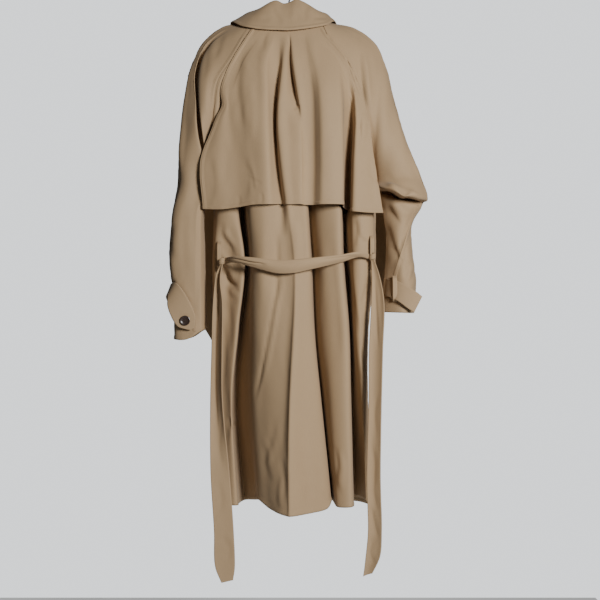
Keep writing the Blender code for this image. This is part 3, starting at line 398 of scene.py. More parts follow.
def seamed(grid, facing, seed, sides=("left", "right", "bottom")):
    """The sheet with a raised band along the named edges: left, right or bottom."""
    normal = outward(grid, facing)
    across, down = lengths_across(grid), lengths_along(grid)
    reach = {
        "left": (across, down),
        "right": (across[:, -1:] - across, down),
        "bottom": (down[-1:] - down, across),
    }
    lift = np.zeros(grid.shape[:2])
    for side in sides:
        distance, along = reach[side]
        pucker = noise(along / (PUCKER_LENGTH * MM), along * 0 + seed, seed)
        lift = np.maximum(lift, 0) + band_lift(distance, pucker) * (distance < BAND_REACH * MM)
    return grid + normal * lift[..., None]


def set_inputs(node, values):
    for name, value in values.items():
        node.inputs[name].default_value = value


def gabardine_group():
    """Shared weave of the cloth: a fine steep twill, with faint bars where yarns vary."""
    group = bpy.data.node_groups.new("gabardine weave", "ShaderNodeTree")
    face = group.interface
    face.new_socket("Tone", in_out="INPUT", socket_type="NodeSocketColor")
    for output, kind in (("Color", "Color"), ("Roughness", "Float"), ("Height", "Float")):
        face.new_socket(output, in_out="OUTPUT", socket_type=f"NodeSocket{kind}")
    nodes, links = group.nodes, group.links
    start = nodes.new("NodeGroupInput")
    end = nodes.new("NodeGroupOutput")
    where = nodes.new("ShaderNodeUVMap")
    where.uv_map = "cloth"

    def stretched(scale, turn=0.0):
        mapping = nodes.new("ShaderNodeMapping")
        set_inputs(mapping, {"Scale": scale, "Rotation": (0, 0, turn)})
        links.new(where.outputs["UV"], mapping.inputs["Vector"])
        return mapping.outputs["Vector"]

    def noise_of(vector, scale, detail):
        texture = nodes.new("ShaderNodeTexNoise")
        texture.noise_dimensions = "2D"
        set_inputs(texture, {"Scale": scale, "Detail": detail})
        links.new(vector, texture.inputs["Vector"])
        return texture.outputs["Fac"]

    def ranged(value, low, high):
        spread = nodes.new("ShaderNodeMapRange")
        set_inputs(spread, {"To Min": low, "To Max": high})
        links.new(value, spread.inputs["Value"])
        return spread.outputs["Result"]

    def added(one, two):
        total = nodes.new("ShaderNodeMath")
        total.operation = "ADD"
        links.new(one, total.inputs[0])
        links.new(two, total.inputs[1])
        return total.outputs[0]

    wave = nodes.new("ShaderNodeTexWave")
    wave.bands_direction = "X"
    set_inputs(wave, {"Scale": 260, "Distortion": 0.6, "Detail": 1.0})
    links.new(stretched((1, 1, 1), math.radians(27)), wave.inputs["Vector"])
    twill = wave.outputs["Fac"]
    yarns = noise_of(stretched((900, 60, 1)), 1.0, 1.0)
    patches = noise_of(stretched((1, 0.6, 1)), 9.0, 3.0)
    weave = added(ranged(twill, -0.045, 0.045), ranged(yarns, -0.05, 0.05))
    tint = nodes.new("ShaderNodeMix")
    tint.data_type = "RGBA"
    tint.blend_type = "MULTIPLY"
    tint.inputs["Factor"].default_value = 1.0
    links.new(start.outputs["Tone"], tint.inputs["A"])
    links.new(added(weave, ranged(patches, 0.95, 1.05)), tint.inputs["B"])
    links.new(tint.outputs["Result"], end.inputs["Color"])
    links.new(ranged(patches, 0.68, 0.8), end.inputs["Roughness"])
    links.new(added(ranged(twill, 0, 0.7), ranged(yarns, 0, 0.5)), end.inputs["Height"])
    return group


def material_and_shader(name):
    material = bpy.data.materials.new(name)
    material.use_nodes = True
    return material, material.node_tree.nodes["Principled BSDF"]


def gabardine(name, tone):
    """Cloth or thread of one tone, with the shared weave."""
    material, shader = material_and_shader(name)
    nodes, links = material.node_tree.nodes, material.node_tree.links
    group = nodes.new("ShaderNodeGroup")
    group.node_tree = WEAVE
    group.inputs["Tone"].default_value = (*tone, 1)
    bump = nodes.new("ShaderNodeBump")
    set_inputs(bump, {"Strength": 0.25, "Distance": 0.2 * MM})
    links.new(group.outputs["Color"], shader.inputs["Base Color"])
    links.new(group.outputs["Roughness"], shader.inputs["Roughness"])
    links.new(group.outputs["Height"], bump.inputs["Height"])
    links.new(bump.outputs["Normal"], shader.inputs["Normal"])
    set_inputs(shader, {"Sheen Weight": 0.12, "Sheen Roughness": 0.45, "Specular IOR Level": 0.3})
    return material


WEAVE = gabardine_group()
GABARDINE = gabardine("tan gabardine", (0.385, 0.264, 0.148))
THREAD = gabardine("tan thread", (0.43, 0.300, 0.175))


def placed(name, data):
    """A new object in the scene."""
    piece = bpy.data.objects.new(name, data)
    bpy.context.scene.collection.objects.link(piece)
    return piece


def finished(name, shape, material):
    """A smooth mesh of one material from what was shaped with bmesh."""
    mesh = bpy.data.meshes.new(name)
    shape.to_mesh(mesh)
    shape.free()
    mesh.materials.append(material)
    mesh.shade_smooth()
    return mesh


def cloth(name, grid, wall=CLOTH):
    """A piece of cloth from a fine sheet of rows and columns, thickened about its middle."""
    rows, cols = grid.shape[:2]
    sheet = bmesh.new()
    bmesh.ops.create_grid(sheet, x_segments=cols - 1, y_segments=rows - 1, size=1)
    mesh = finished(name, sheet, GABARDINE)
    flat = np.empty(len(mesh.vertices) * 3)
    mesh.vertices.foreach_get("co", flat)
    flat = flat.reshape(-1, 3)
    col = np.rint((flat[:, 0] + 1) / 2 * (cols - 1)).astype(int)
    row = np.rint((flat[:, 1] + 1) / 2 * (rows - 1)).astype(int)
    mesh.vertices.foreach_set("co", grid[row, col].ravel())
    across, down = cloth_map(grid)
    corner = np.empty(len(mesh.loops), int)
    mesh.loops.foreach_get("vertex_index", corner)
    chart = mesh.uv_layers.new(name="cloth")
    places = np.stack([across[row, col], down[row, col]], axis=1)[corner]
    chart.data.foreach_set("uv", places.ravel())
    mesh.update()
    piece = placed(f"{name}_cloth", mesh)
    thicken = piece.modifiers.new("wall", "SOLIDIFY")
    thicken.thickness = wall
    thicken.offset = 0.0
    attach(piece, "root")
    return piece


def stitches(name, runs, pitch=3.2, size=(2.1, 0.55, 0.4)):
    """Topstitching: one small bead of thread to a stitch, along each run of (points, normals)."""
    beads = bmesh.new()
    for points, normals in runs:
        length = lengths_along(points)
        count = int(length[-1] / (pitch * MM))
        at = (np.arange(count) + 0.5) * length[-1] / max(count, 1)
        middles, ups = points_at(at, length, points), points_at(at, length, normals)
        ahead = points_at(at + MM, length, points) - points_at(at - MM, length, points)
        for middle, along, out in zip(middles, ahead, ups):
            along = Vector(along).normalized()
            out = Vector(out).normalized()
            aside = out.cross(along).normalized()
            turn = Matrix((along, aside, out)).transposed().to_4x4()
            shape = Matrix.Diagonal((*(part / 2 * MM for part in size), 1))
            bmesh.ops.create_icosphere(beads, subdivisions=1, radius=1.0,
                                       matrix=Matrix.Translation(middle) @ turn @ shape)
    mesh = finished(name, beads, THREAD)
    mesh.uv_layers.new(name="cloth")
    piece = placed(name, mesh)
    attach(piece, "root")
    return piece


def stitch_row(grid, facing, side, reach, first=0.0, last=1.0):
    """A row of stitches on the outside of a sheet, at a distance from one of its edges."""
    normal = outward(grid, facing)
    if side == "bottom":
        grid, normal = np.swapaxes(grid, 0, 1), np.swapaxes(normal, 0, 1)
    if side in ("right", "bottom"):
        grid, normal = grid[:, ::-1], normal[:, ::-1]
    rows = np.s_[round(first * (len(grid) - 1)):round(last * (len(grid) - 1)) + 1]
    lines = [(line, up, lengths_along(line)) for line, up in zip(grid[rows], normal[rows])]
    points = np.array([points_at(reach * MM, length, line) for line, up, length in lines])
    ups = np.array([points_at(reach * MM, length, up) for line, up, length in lines])
    return points + ups * (CLOTH / 2 + THREAD_LIFT), ups


def edge_threads(name, grid, facing, sides, reaches, first=0.0, last=1.0):
    """Topstitching along the named edges of a sheet, in rows at each reach from them."""
    rows = [
        stitch_row(grid, facing, side, reach, first, last)
        for side in sides for reach in reaches
    ]
    return stitches(f"{name}_thread", rows)


raglan_back = {side: evenly(np.array(line) * MM, YOKE_ROWS) for side, line in RAGLAN_BACK.items()}
raglan_front = {side: evenly(np.array(line) * MM, YOKE_ROWS) for side, line in RAGLAN_FRONT.items()}


def back_rows():
    """The fold lines of the back, fine from the neck to the hem and still few across."""
    x = np.array([row[1] for row in BACK_FOLDS], float).T * MM
    y = -np.array([row[2] for row in BACK_FOLDS], float).T * MM
    z = np.repeat(np.array(LEVELS, float)[:, None], len(BACK_FOLDS), axis=1)
    z[-1] += [row[3] for row in BACK_FOLDS]
    z *= MM
    place = (x[0] - x[0][0]) / (x[0][-1] - x[0][0])
    rounding = 1 - (2 * place - 1) ** 4
    chest_round = y[0][0] + (-BLADE_DEPTH * MM - y[0][0]) * rounding
    net = []
    for k in range(YOKE_ROWS + 1):
        left, right = raglan_back["left"][k], raglan_back["right"][k]
        row = left + np.outer(place, right - left)
        centre_depth = -(NECK_DEPTH + (BLADE_DEPTH - NECK_DEPTH) * min(1, k / BLADE_ROW)) * MM
        middle = row[:, 1].mean()
        row[:, 1] += (min(centre_depth, middle) - middle) * rounding
        row[:, 1] += FOLD_FADE[k] * (y[0] - chest_round)
        row[0], row[-1] = left, right
        net.append(row)
    yoke = curve_through(np.array(net), YOKE_STEPS)
    skirt = np.concatenate([np.array(net[-1:]), np.stack([x, y, z], axis=2)])
    return np.concatenate([yoke[:-1], curve_through(skirt, SKIRT_STEPS)])


back_lines = back_rows()
back_dense = across_each_row(back_lines, FINE)


# ---------------------------------------------------------------- fronts
# Two fronts of the same cloth close double-breasted, the left one outside. They are sewn to the
# back at the sides and to the sleeves above, and their edges and hems are turned and stitched.

# Depth (y) of the fronts at the neck, chest, armpit and then the heights of the back's table:
# z, depth a third of the way in from the seam, depth of the flat middle
FRONT_DEPTH = [(-125, 50, 54), (-200, 62, 66), (-300, 72, 76), (-465, 66, 80), (CHEST, 66, 82),
               (WAIST, 68, 84), (HIP, 70, 86), (KNEE, 74, 88), (HEM, 78, 92)]
# Front edge, from the neck along the roll line of the lapel, then straight down: (x, z)
FRONT_EDGES = {
    "left": [(-71, -122), (-20, -215), (40, -330), (82, -430), (84, -545), (84, -652),
             (85, -806), (86, -962), (88, -1200)],
    "right": [(70, -122), (25, -215), (-25, -330), (-60, -430), (-62, -545), (-62, -652),
              (-62, -806), (-62, -962), (-62, -1200)],
}
FRONT_PLACES = [0, 0.07, 0.2, 0.4, 0.6, 0.8, 1]     # lines of the front, seam to edge
FRONT_FOLDS = {0.2: 3, 0.4: -3, 0.6: 3, 0.8: -2}    # how far some of them stand out at the hem
FRONT_TURN, FRONT_FLAT = 0.2, 0.4        # places by which a front has turned, and lies flat
FRONT_ROUNDNESS = 2.2                    # power of the curve in which it turns
FRONT_OPENING = (-300, 900)              # the folds open from this height down, over this length
FRONT_INSET = {"left": 0, "right": 11}   # the right front lies inside the left one
FRONT_COLUMN = 5 * MM                    # width of a column
FRONT_SEEDS, FRONT_PUCKER_SEED = {"left": 25, "right": 21}, 9

# How each front stands out beside the back, under the arm: height, how far its third line lies out
# to the side. The second line goes SIDE_SHARE of it, and both lie SIDE_FORWARD of it further front.
FRONT_SIDES = {
    "left": [(-405, 0), (-440, 18), (-475, 54), (-508, 86), (-560, 94), (-652, 94), (-730, 92),
             (-792, 88), (-828, 64), (-868, 40), (-920, 22), (-990, 8), (-1060, 0)],
    "right": [(-405, 0), (-440, 16), (-475, 40), (-508, 70), (-545, 90), (-600, 97), (-650, 97),
              (-700, 94), (-732, 76), (-768, 34), (-805, 12), (-860, 0)],
}
SIDE_SHARE = 0.06
SIDE_FORWARD = 0.27

# Creases of the fronts: path (x, z), half width, depth
FRONT_CREASES = {
    "left": [
        ([(-150, -640), (-110, -668), (-70, -662), (-30, -676)], 7, 2.4),
        ([(-152, -655), (-118, -700), (-90, -760)], 8, 2.4),
        ([(-140, -690), (-120, -790), (-118, -900)], 11, 3.2),
        ([(-96, -700), (-84, -860), (-88, -1010)], 13, 2.8),
        ([(-60, -900), (-54, -1020), (-58, -1160)], 14, 2.6),
        ([(-10, -860), (-4, -1000), (-8, -1150)], 13, 2.2),
        ([(40, -780), (46, -930), (42, -1090)], 12, 1.8),
        ([(-158, -480), (-120, -520), (-90, -585)], 10, 2.4),
        ([(-150, -430), (-108, -470), (-60, -480)], 10, 1.8),
        ([(-120, -300), (-92, -360), (-84, -440)], 10, 1.8),
        ([(-30, -400), (-22, -450), (-28, -520)], 9, 1.2),
        ([(-150, -960), (-144, -1060), (-150, -1150)], 9, 2.4),
    ],
    "right": [
        ([(180, -630), (150, -662), (118, -668)], 7, 2.4),
        ([(180, -650), (150, -710), (132, -780)], 8, 2.6),
        ([(170, -700), (156, -800), (160, -910)], 11, 3.0),
        ([(120, -720), (112, -860), (118, -1020)], 12, 2.6),
        ([(140, -900), (134, -1020), (140, -1160)], 13, 2.4),
        ([(184, -490), (140, -525), (112, -590)], 10, 2.4),
        ([(178, -430), (130, -470), (90, -480)], 10, 1.8),
        ([(140, -300), (112, -360), (100, -440)], 10, 1.8),
        ([(96, -960), (100, -1080), (98, -1170)], 10, 1.8),
    ],
}


def front_rows(side):
    """The fold lines of one front, fine from the neck to the hem and still few across."""
    _, seam_x, seam_y, drop = BACK_FOLDS[0 if side == "left" else -1]
    lower = np.array([seam_x, [-y for y in seam_y], LEVELS], float).T * MM
    lower[-1, 2] += drop * MM
    lower = np.vstack([raglan_front[side][-1:], lower])
    yoke = curve_through(raglan_front[side], YOKE_STEPS)
    seam = np.concatenate([yoke[:-1], curve_through(lower, SKIRT_STEPS)])
    depth = np.array(FRONT_DEPTH[::-1], float) * MM
    edge = np.array(FRONT_EDGES[side][::-1], float) * MM
    sides = np.array(FRONT_SIDES[side][::-1], float) * MM
    opens_at, opens_over = (value * MM for value in FRONT_OPENING)
    net = []
    for x, y, z in seam:
        out = np.interp(z, sides[:, 0], sides[:, 1])
        to_side = {1: SIDE_SHARE * out, 2: out}
        edge_height = min(z, edge[-1, 1])
        edge_x = np.interp(edge_height, edge[:, 1], edge[:, 0])
        third, flat = (np.interp(z, depth[:, 0], depth[:, column]) for column in (1, 2))
        opening = np.clip((opens_at - z) / opens_over, 0, 1)
        row = []
        for line, place in enumerate(FRONT_PLACES):
            turned = min(place / FRONT_TURN, 1)
            level = third + (flat - third) * min(place / FRONT_FLAT, 1)
            forward = y + (level - y) * (1 - (1 - turned) ** FRONT_ROUNDNESS)
            forward += SIDE_FORWARD * out if line in to_side else 0
            forward += FRONT_FOLDS.get(place, 0) * MM * opening
            row.append((
                x + (edge_x - x) * place + OUT_OF_BODY[side] * to_side.get(line, 0),
                forward - FRONT_INSET[side] * MM * turned,
                z + (edge_height - z) * place,
            ))
        net.append(row)
    return np.array(net)


front_lines = {side: front_rows(side) for side in OUT_OF_BODY}
front_dense = {side: across_each_row(lines, FINE) for side, lines in front_lines.items()}


# ---------------------------------------------------------------- sleeves
# Each raglan sleeve is a back piece and a front piece of the same cloth, joined by a topstitched
# seam from the neck over the arm and by a seam under it. The left one has a deep fold behind.

OVERARM = {
    "left": [(-82, 0, -103), (-110, 0, -105), (-136, 0, -107), (-159, -1, -115), (-190, -2, -142),
             (-210, -3, -164), (-221, -4, -200), (-234, -5, -255), (-242, -5, -325),
             (-251, -6, -400), (-255, -6, -470)],
    "right": [(82, 0, -103), (106, 0, -105), (130, 0, -108), (157, -1, -118), (186, -2, -138),
              (205, -3, -160), (217, -4, -190), (234, -6, -255), (252, -9, -324), (274, -15, -393),
              (298, -24, -455)],
}
# Sections of the sleeve below the armpit: outer line (x, y, z), underarm seam (x, y, z), and how
# far the back and the front of the sleeve stand out from the chord between them
SLEEVE_SECTIONS = {
    "left": [
        ((-266, -5, -542), (-197, 2, -536), 56, 40),
        ((-273, -8, -640), (-195, 0, -630), 50, 40),
        ((-266, -10, -705), (-193, -6, -710), 42, 38),
        ((-262, -10, -760), (-192, -8, -765), 40, 36),
        ((-260, -10, -822), (-191, -8, -818), 42, 34),
    ],
    "right": [
        ((314, -26, -509), (206, 4, -478), 72, 38),
        ((306, -9, -514), (208, 8, -487), -4, 40),
        ((301, -6, -527), (211, 10, -503), 34, 44),
        ((282, 0, -562), (218, 12, -534), 34, 46),
        ((282, -6, -624), (225, 6, -613), 40, 42),
        ((290, -8, -700), (226, 0, -692), 42, 38),
        ((284, -10, -768), (218, -6, -766), 40, 34),
    ],
}
ARM_STEPS = {"left": [17, 24, 17, 14, 16], "right": [14, 8, 7, 12, 16, 19, 18]}
# How far the yoke of the sleeve stands out from the chord between its seams, at the neck, the
# shoulder, the upper arm and the armpit: (back, front)
YOKE_FULLNESS = {"left": [(3, 3), (9, 9), (24, 16), (52, 34)],
                 "right": [(3, 3), (9, 9), (20, 16), (38, 34)]}
# Where on the chord a half section has how much of its fullness: (place, share). The left sleeve's
# back is flat to its inner edge from a row on, and the right forearm's back is fuller outside.
SECTION_SPREAD = [(0.14, 0.66), (0.5, 1.0), (0.86, 0.66)]
FLAT_SPREAD, FLAT_FROM = [(0.04, 0.66), (0.5, 1.0), (0.93, 0.9)], 3
ARM_SPREAD, FOREARM_FROM = [(0.14, 0.82), (0.42, 1.0), (0.86, 0.46)], YOKE_ROWS + 4
# Local moves in z of the edge that hangs over the right elbow
ELBOW_LIP = [(231, -485, 10, 9, 5), (258, -494, 12, 9, -11)]
# The deep fold that runs down the back of the left sleeve, row by row from the neck: share of the
# way from the outer line to the back seam, depth
SLEEVE_FOLD = [(0.38, 0), (0.31, 0), (0.22, 5), (0.37, 24), (0.60, 30), (0.70, 30), (0.74, 14),
               (0.70, 0), (0.64, 0)]
SLEEVE_FOLD_MOUTH = 12.5 * MM
SLEEVE_FOLD_FLOOR = 0.6                 # width of its floor, as a share of its mouth
SLEEVE_FOLD_DIVES = [(-0.25, 1.25, 0), (0.05, 1.35, 0)]    # from its lips to its floor's sides
SLEEVE_FOLD_EASE = (0.36, 0.58)         # places of two more points outside it, as shares of its own
ARMPIT_EASE = [1.5 * MM, 3.0 * MM]      # of the underarm off the body, in the last yoke rows
SLEEVE_COLUMN = 4.2 * MM                # width of a column
SLEEVE_GRAIN = 0.8
SLEEVE_SEEDS = {"left_back": 19, "left_front": 20, "right_back": 17, "right_front": 18}
SLEEVE_PUCKER_SEED = 7

# Creases of the sleeves: path (x, z), half width, depth
SLEEVE_CREASES = {
    "left_back": [
        ([(-204, -170), (-212, -240), (-216, -330)], 7, 1.6),
        ([(-228, -330), (-240, -420), (-246, -520)], 10, 1.8),
        ([(-262, -560), (-267, -610), (-262, -650)], 9, 2.2),
        ([(-206, -480), (-214, -560), (-210, -640)], 10, 1.8),
        ([(-232, -520), (-238, -600), (-234, -690)], 12, 1.5),
        ([(-262, -690), (-258, -712), (-246, -728)], 6, 3.0),
        ([(-252, -700), (-240, -730), (-222, -752)], 7, 2.2),
        ([(-205, -700), (-212, -750), (-208, -800)], 9, 1.4),
        ([(-180, -130), (-186, -180), (-190, -240)], 8, 1.4),
        ([(-150, -128), (-158, -160), (-168, -200)], 7, 1.2),
        ([(-176, -260), (-182, -330), (-190, -390)], 7, 1.4),
    ],
    "left_front": [
        ([(-230, -300), (-214, -360), (-206, -430)], 9, 2.4),
        ([(-190, -440), (-216, -480), (-246, -500)], 9, 2.6),
        ([(-196, -500), (-220, -540), (-252, -556)], 9, 2.4),
        ([(-204, -560), (-228, -600), (-258, -612)], 8, 1.8),
        ([(-230, -620), (-234, -700), (-226, -770)], 11, 1.8),
        ([(-254, -720), (-240, -760), (-236, -800)], 8, 2.0),
        ([(-212, -700), (-206, -750), (-210, -800)], 8, 1.6),
        ([(-160, -150), (-178, -200), (-196, -280)], 9, 1.6),
    ],
    "right_back": [
        ([(158, -175), (163, -225), (166, -270), (172, -310)], 7, 5.5),
        ([(168, -180), (174, -230), (182, -280)], 8, -1.6),
        ([(209, -180), (203, -240), (198, -310), (192, -420)], 8, 3.0),
        ([(220, -200), (222, -270), (216, -350), (206, -440)], 12, -2.0),
        ([(232, -260), (240, -330), (252, -400)], 11, 1.8),
        ([(262, -390), (276, -430), (296, -470)], 8, 1.8),
        ([(214, -470), (236, -482), (262, -494), (296, -503)], 4, -2.0),
        ([(222, -460), (250, -476), (284, -488)], 6, 1.6),
        ([(224, -520), (238, -545), (256, -568)], 6, 3.2),
        ([(232, -508), (252, -535), (270, -548)], 6, -2.4),
        ([(222, -560), (232, -600), (246, -640)], 7, 2.8),
        ([(292, -528), (272, -580), (260, -614), (245, -659), (237, -696)], 3.6, -1.6),
        ([(286, -528), (266, -580), (254, -614), (239, -659)], 3.0, 1.2),
        ([(232, -610), (246, -640), (258, -655)], 5, 2.4),
        ([(250, -590), (258, -640), (268, -676)], 8, 2.0),
        ([(276, -650), (268, -672), (262, -690)], 5, 2.4),
        ([(286, -668), (278, -690), (272, -700)], 5, 2.0),
        ([(262, -700), (258, -730), (250, -762)], 7, 1.8),
        ([(150, -130), (156, -160), (160, -190)], 5, 1.6),
    ],
    "right_front": [
        ([(232, -300), (216, -360), (208, -430)], 9, 2.4),
        ([(206, -452), (232, -470), (266, -488), (300, -500)], 6, 2.6),
        ([(214, -490), (240, -506), (274, -520)], 7, 3.0),
        ([(216, -530), (240, -560), (268, -570)], 8, 2.6),
        ([(224, -590), (246, -620), (270, -632)], 8, 2.0),
        ([(248, -640), (250, -700), (244, -750)], 10, 1.8),
        ([(232, -690), (236, -730), (230, -760)], 7, 1.8),
        ([(156, -150), (176, -200), (196, -280)], 9, 1.6),
    ],
}


def half_section(outer, inner, fullness, down, turn, spread=SECTION_SPREAD):
    """Five points round the back or the front of the arm."""
    chord = inner - outer
    out = turn * np.cross(down, chord)
    out *= fullness / np.linalg.norm(out)
    return [outer, *(outer + chord * place + out * share for place, share in spread), inner]


def with_fold(section, place, depth, samples=240):
    """A half section that dives into a narrow fold at a share of its length."""
    run = evenly(np.array(section), samples)
    lip = SLEEVE_FOLD_MOUTH / 2 / lengths_along(run)[-1]
    floor = lip * SLEEVE_FOLD_FLOOR
    one, two = (share * (place - lip) for share in SLEEVE_FOLD_EASE)
    at = [0, one, two, place - lip, place - floor,
          place + floor, place + lip, (1 + place + lip) / 2, 1]
    points = [run[round(share * samples)] for share in at]
    for k, dive in zip((4, 5), SLEEVE_FOLD_DIVES):
        points[k] = points[k] + np.array(dive) * depth
    return points


def sleeve_rows(side):
    """The rows of a sleeve's tube, fine both ways, and the number of its overarm fold line."""
    overarm = evenly(np.array(OVERARM[side]) * MM, YOKE_ROWS)
    sections = SLEEVE_SECTIONS[side]
    outer = np.vstack([overarm, [np.array(section[0]) * MM for section in sections]])
    under = [np.array(section[1]) * MM for section in sections]
    back_seam = np.vstack([raglan_back[side], under])
    front_seam = np.vstack([raglan_front[side], under])
    for seam in (back_seam, front_seam):
        seam[YOKE_ROWS - 1:YOKE_ROWS + 1, 0] += np.array(ARMPIT_EASE) * OUT_OF_BODY[side]
    yoke_table = np.array(YOKE_FULLNESS[side], float)
    table_at = np.linspace(0, YOKE_ROWS, len(yoke_table))
    rows = np.arange(YOKE_ROWS + 1)
    yoke = np.stack([np.interp(rows, table_at, column) for column in yoke_table.T], axis=1)
    fullness = np.vstack([yoke, [section[2:] for section in sections]]) * MM
    turn = -OUT_OF_BODY[side]
    net = []
    for k in range(len(outer)):
        before, after = max(k - 1, 0), min(k + 1, len(outer) - 1)
        down = outer[after] - outer[before] + back_seam[after] - back_seam[before]
        down[1] = 0
        down /= np.linalg.norm(down)
        back_full, front_full = fullness[k]
        spread = SECTION_SPREAD
        if side == "left" and k >= FLAT_FROM:
            spread = FLAT_SPREAD
        if side == "right" and k >= FOREARM_FROM:
            spread = ARM_SPREAD
        back_part = half_section(outer[k], back_seam[k], back_full, down, turn, spread)
        front_part = half_section(outer[k], front_seam[k], front_full, down, -turn)
        if side == "left":
            place, depth = SLEEVE_FOLD[min(k, len(SLEEVE_FOLD) - 1)]
            back_part = with_fold(back_part, place, depth * MM)
        net.append(back_part[::-1] + front_part[1:])
    lines = curve_through(np.array(net), [YOKE_STEPS] * YOKE_ROWS + ARM_STEPS[side])
    first_arm = YOKE_ROWS * YOKE_STEPS
    underarm = (lines[first_arm:, 0] + lines[first_arm:, -1]) / 2
    lines[first_arm:, 0] = lines[first_arm:, -1] = underarm
    yoke = across_each_row(lines[:first_arm], FINE)
    arm = across_each_row(lines[first_arm:], FINE, closed=True)
    return lines, np.vstack([yoke, arm]), len(back_part) - 1


# ---------------------------------------------------------------- seams between the body's pieces
# The raglan, side, underarm and overarm seams are pressed to one side and topstitched twice.

def sheet_tree(grids):
    """The surfaces of some sheets, for laying other pieces on them."""
    points, faces = [], []
    for grid in grids:
        rows, cols = grid.shape[:2]
        first = len(points)
        points += [tuple(point) for point in grid.reshape(-1, 3)]
        corner = first + np.add.outer(np.arange(rows - 1) * cols, np.arange(cols - 1)).ravel()
        faces += np.stack([corner, corner + 1, corner + cols + 1, corner + cols], axis=1).tolist()
    return BVHTree.FromPolygons(points, faces)


def met_at(surface, x, z, facing):
    """Where a surface is met at (x, z), coming along Y from the side of facing."""
    return surface.ray_cast(Vector((x, facing, z)), Vector((0, -facing, 0)))[0]


FELL_HALF_WIDTH = 3.3
FELL_WALL = 0.9 * MM
FELL_GAP = 0.1 * MM            # between its wall and the sleeve's
FELL_STITCH = 0.9              # distance of each row of stitches from its edge
FELL_ROWS, FELL_COLUMNS = 70, 9


def felled(name, grid, path):
    """A felled seam along a path (x, z) on the back of a sheet: a narrow strip with a row of
    stitches at each edge. Returns both pieces."""
    surface = sheet_tree([grid])
    run = evenly([(x * MM, 0, z * MM) for x, z in path], FELL_ROWS)
    along = np.gradient(run, axis=0)
    across = np.stack([along[:, 2], along[:, 1], -along[:, 0]], axis=1)
    across /= np.linalg.norm(across, axis=1, keepdims=True)
    places = np.linspace(-FELL_HALF_WIDTH, FELL_HALF_WIDTH, FELL_COLUMNS) * MM
    strip = run[:, None] + across[:, None] * places[None, :, None]
    for point in strip.reshape(-1, 3):
        x, _, z = point
        hit = met_at(surface, x, z, -1) or surface.find_nearest(Vector((x, 0, z)))[0]
        point[1] = hit.y - (CLOTH / 2 + FELL_WALL / 2 + FELL_GAP)
    return [cloth(f"{name}_fell", strip, wall=FELL_WALL),
            edge_threads(f"{name}_fell", strip, TO_BACK, ("left", "right"), [FELL_STITCH])]


# Felled seams that show on the sleeves: path (x, z)
FELLS = {
    "sleeve_right_back": [(296, -523), (284, -552), (273, -580), (262, -614), (247, -659),
                          (239, -688)],
    "sleeve_left_back": [(-210, -764), (-211, -786), (-212, -808)],
}
# Local moves of the right sleeve's inner edge in x, and of the left cuff's edge in z
FOREARM_EDGE = [(211, -708, 26, 60, -10)]
CUFF_STEP = [(-189, -822, 25, 70, 14), (-236, -822, 34, 12, -8)]
# The flap keeps the back under it flat: the back's creases are free over this length below this
# height, and keep this share of their depth above it
UNDER_FLAP_TO, UNDER_FLAP_EASE, UNDER_FLAP_SHARE = -500 * MM, 50 * MM, 0.15

ARMPIT = YOKE_ROWS * YOKE_STEPS
grids = {}                     # the finished middle surface of each piece, for what lies on it
body_trims = {}
for side, edge in (("left", 0), ("right", -1)):
    lines, tube, middle = sleeve_rows(side)
    near = side == "left"
    yoke, arm = np.s_[:ARMPIT + 1], np.s_[ARMPIT:]
    back_in, front_in = into(back_dense, near), into(front_dense[side], True)
    tube_back, tube_front = into(tube, True), into(tube, False)
    underarm = seam_allowance(tube[arm, 0], tube_back[arm], tube_front[arm])
    raglan = {
        "back": seam_allowance(back_dense[yoke, edge], tube_back[yoke], back_in[yoke]),
        "front": seam_allowance(front_dense[side][yoke, 0], tube_front[yoke], front_in[yoke]),
    }
    side_seam = seam_allowance(back_dense[arm, edge], back_in[arm], front_in[arm])
    for face in ("back", "front"):
        body_trims[side, face] = np.append(raglan[face], side_seam[1:])
    overarm = middle * FINE
    back_half, front_half = tube[:, :overarm + 1], tube[:, overarm:]
    overarm_trim = seam_allowance(tube[:, overarm], into(back_half, False), into(front_half, True))
    back_trim, front_trim = (np.append(raglan[face], underarm[1:]) for face in ("back", "front"))
    for face, half, part, cuts, facing in (
        ("back", back_half, lines[:, :middle + 1], (back_trim, overarm_trim), TO_BACK),
        ("front", front_half, lines[:, middle:], (overarm_trim, front_trim), TO_FRONT),
    ):
        name, key = f"sleeve_{side}_{face}", f"{side}_{face}"
        grid = recolumned(half, column_plan(part, SLEEVE_COLUMN), *cuts)
        if name == "sleeve_right_back":
            grid = nudged(grid, 2, ELBOW_LIP)
        grid = nudged(grid, 2, CUFF_STEP) if side == "left" else nudged(grid, 0, FOREARM_EDGE)
        grid = lived_in(grid, facing, SLEEVE_SEEDS[key], SLEEVE_CREASES[key], SLEEVE_GRAIN)
        grids[name] = seamed(grid, facing, SLEEVE_PUCKER_SEED)
        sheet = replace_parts(cloth(name, grids[name]), name)
        sewn = ("left", "right") if face == "back" else ("right",)
        extras = [edge_threads(name, grids[name], facing, sewn, STITCH_ROWS)]
        if name in FELLS:
            extras += felled(name, grids[name], FELLS[name])
    grid = recolumned(front_dense[side], column_plan(front_lines[side], FRONT_COLUMN),
                      left=body_trims[side, "front"])
    grid = lived_in(grid, TO_FRONT, FRONT_SEEDS[side], FRONT_CREASES[side])
    name = f"front_{side}"
    grids[name] = seamed(grid, TO_FRONT, FRONT_PUCKER_SEED)
    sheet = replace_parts(cloth(name, grids[name]), name)
    thread = edge_threads(name, grids[name], TO_FRONT, ("right", "bottom"), [HEM_STITCH])

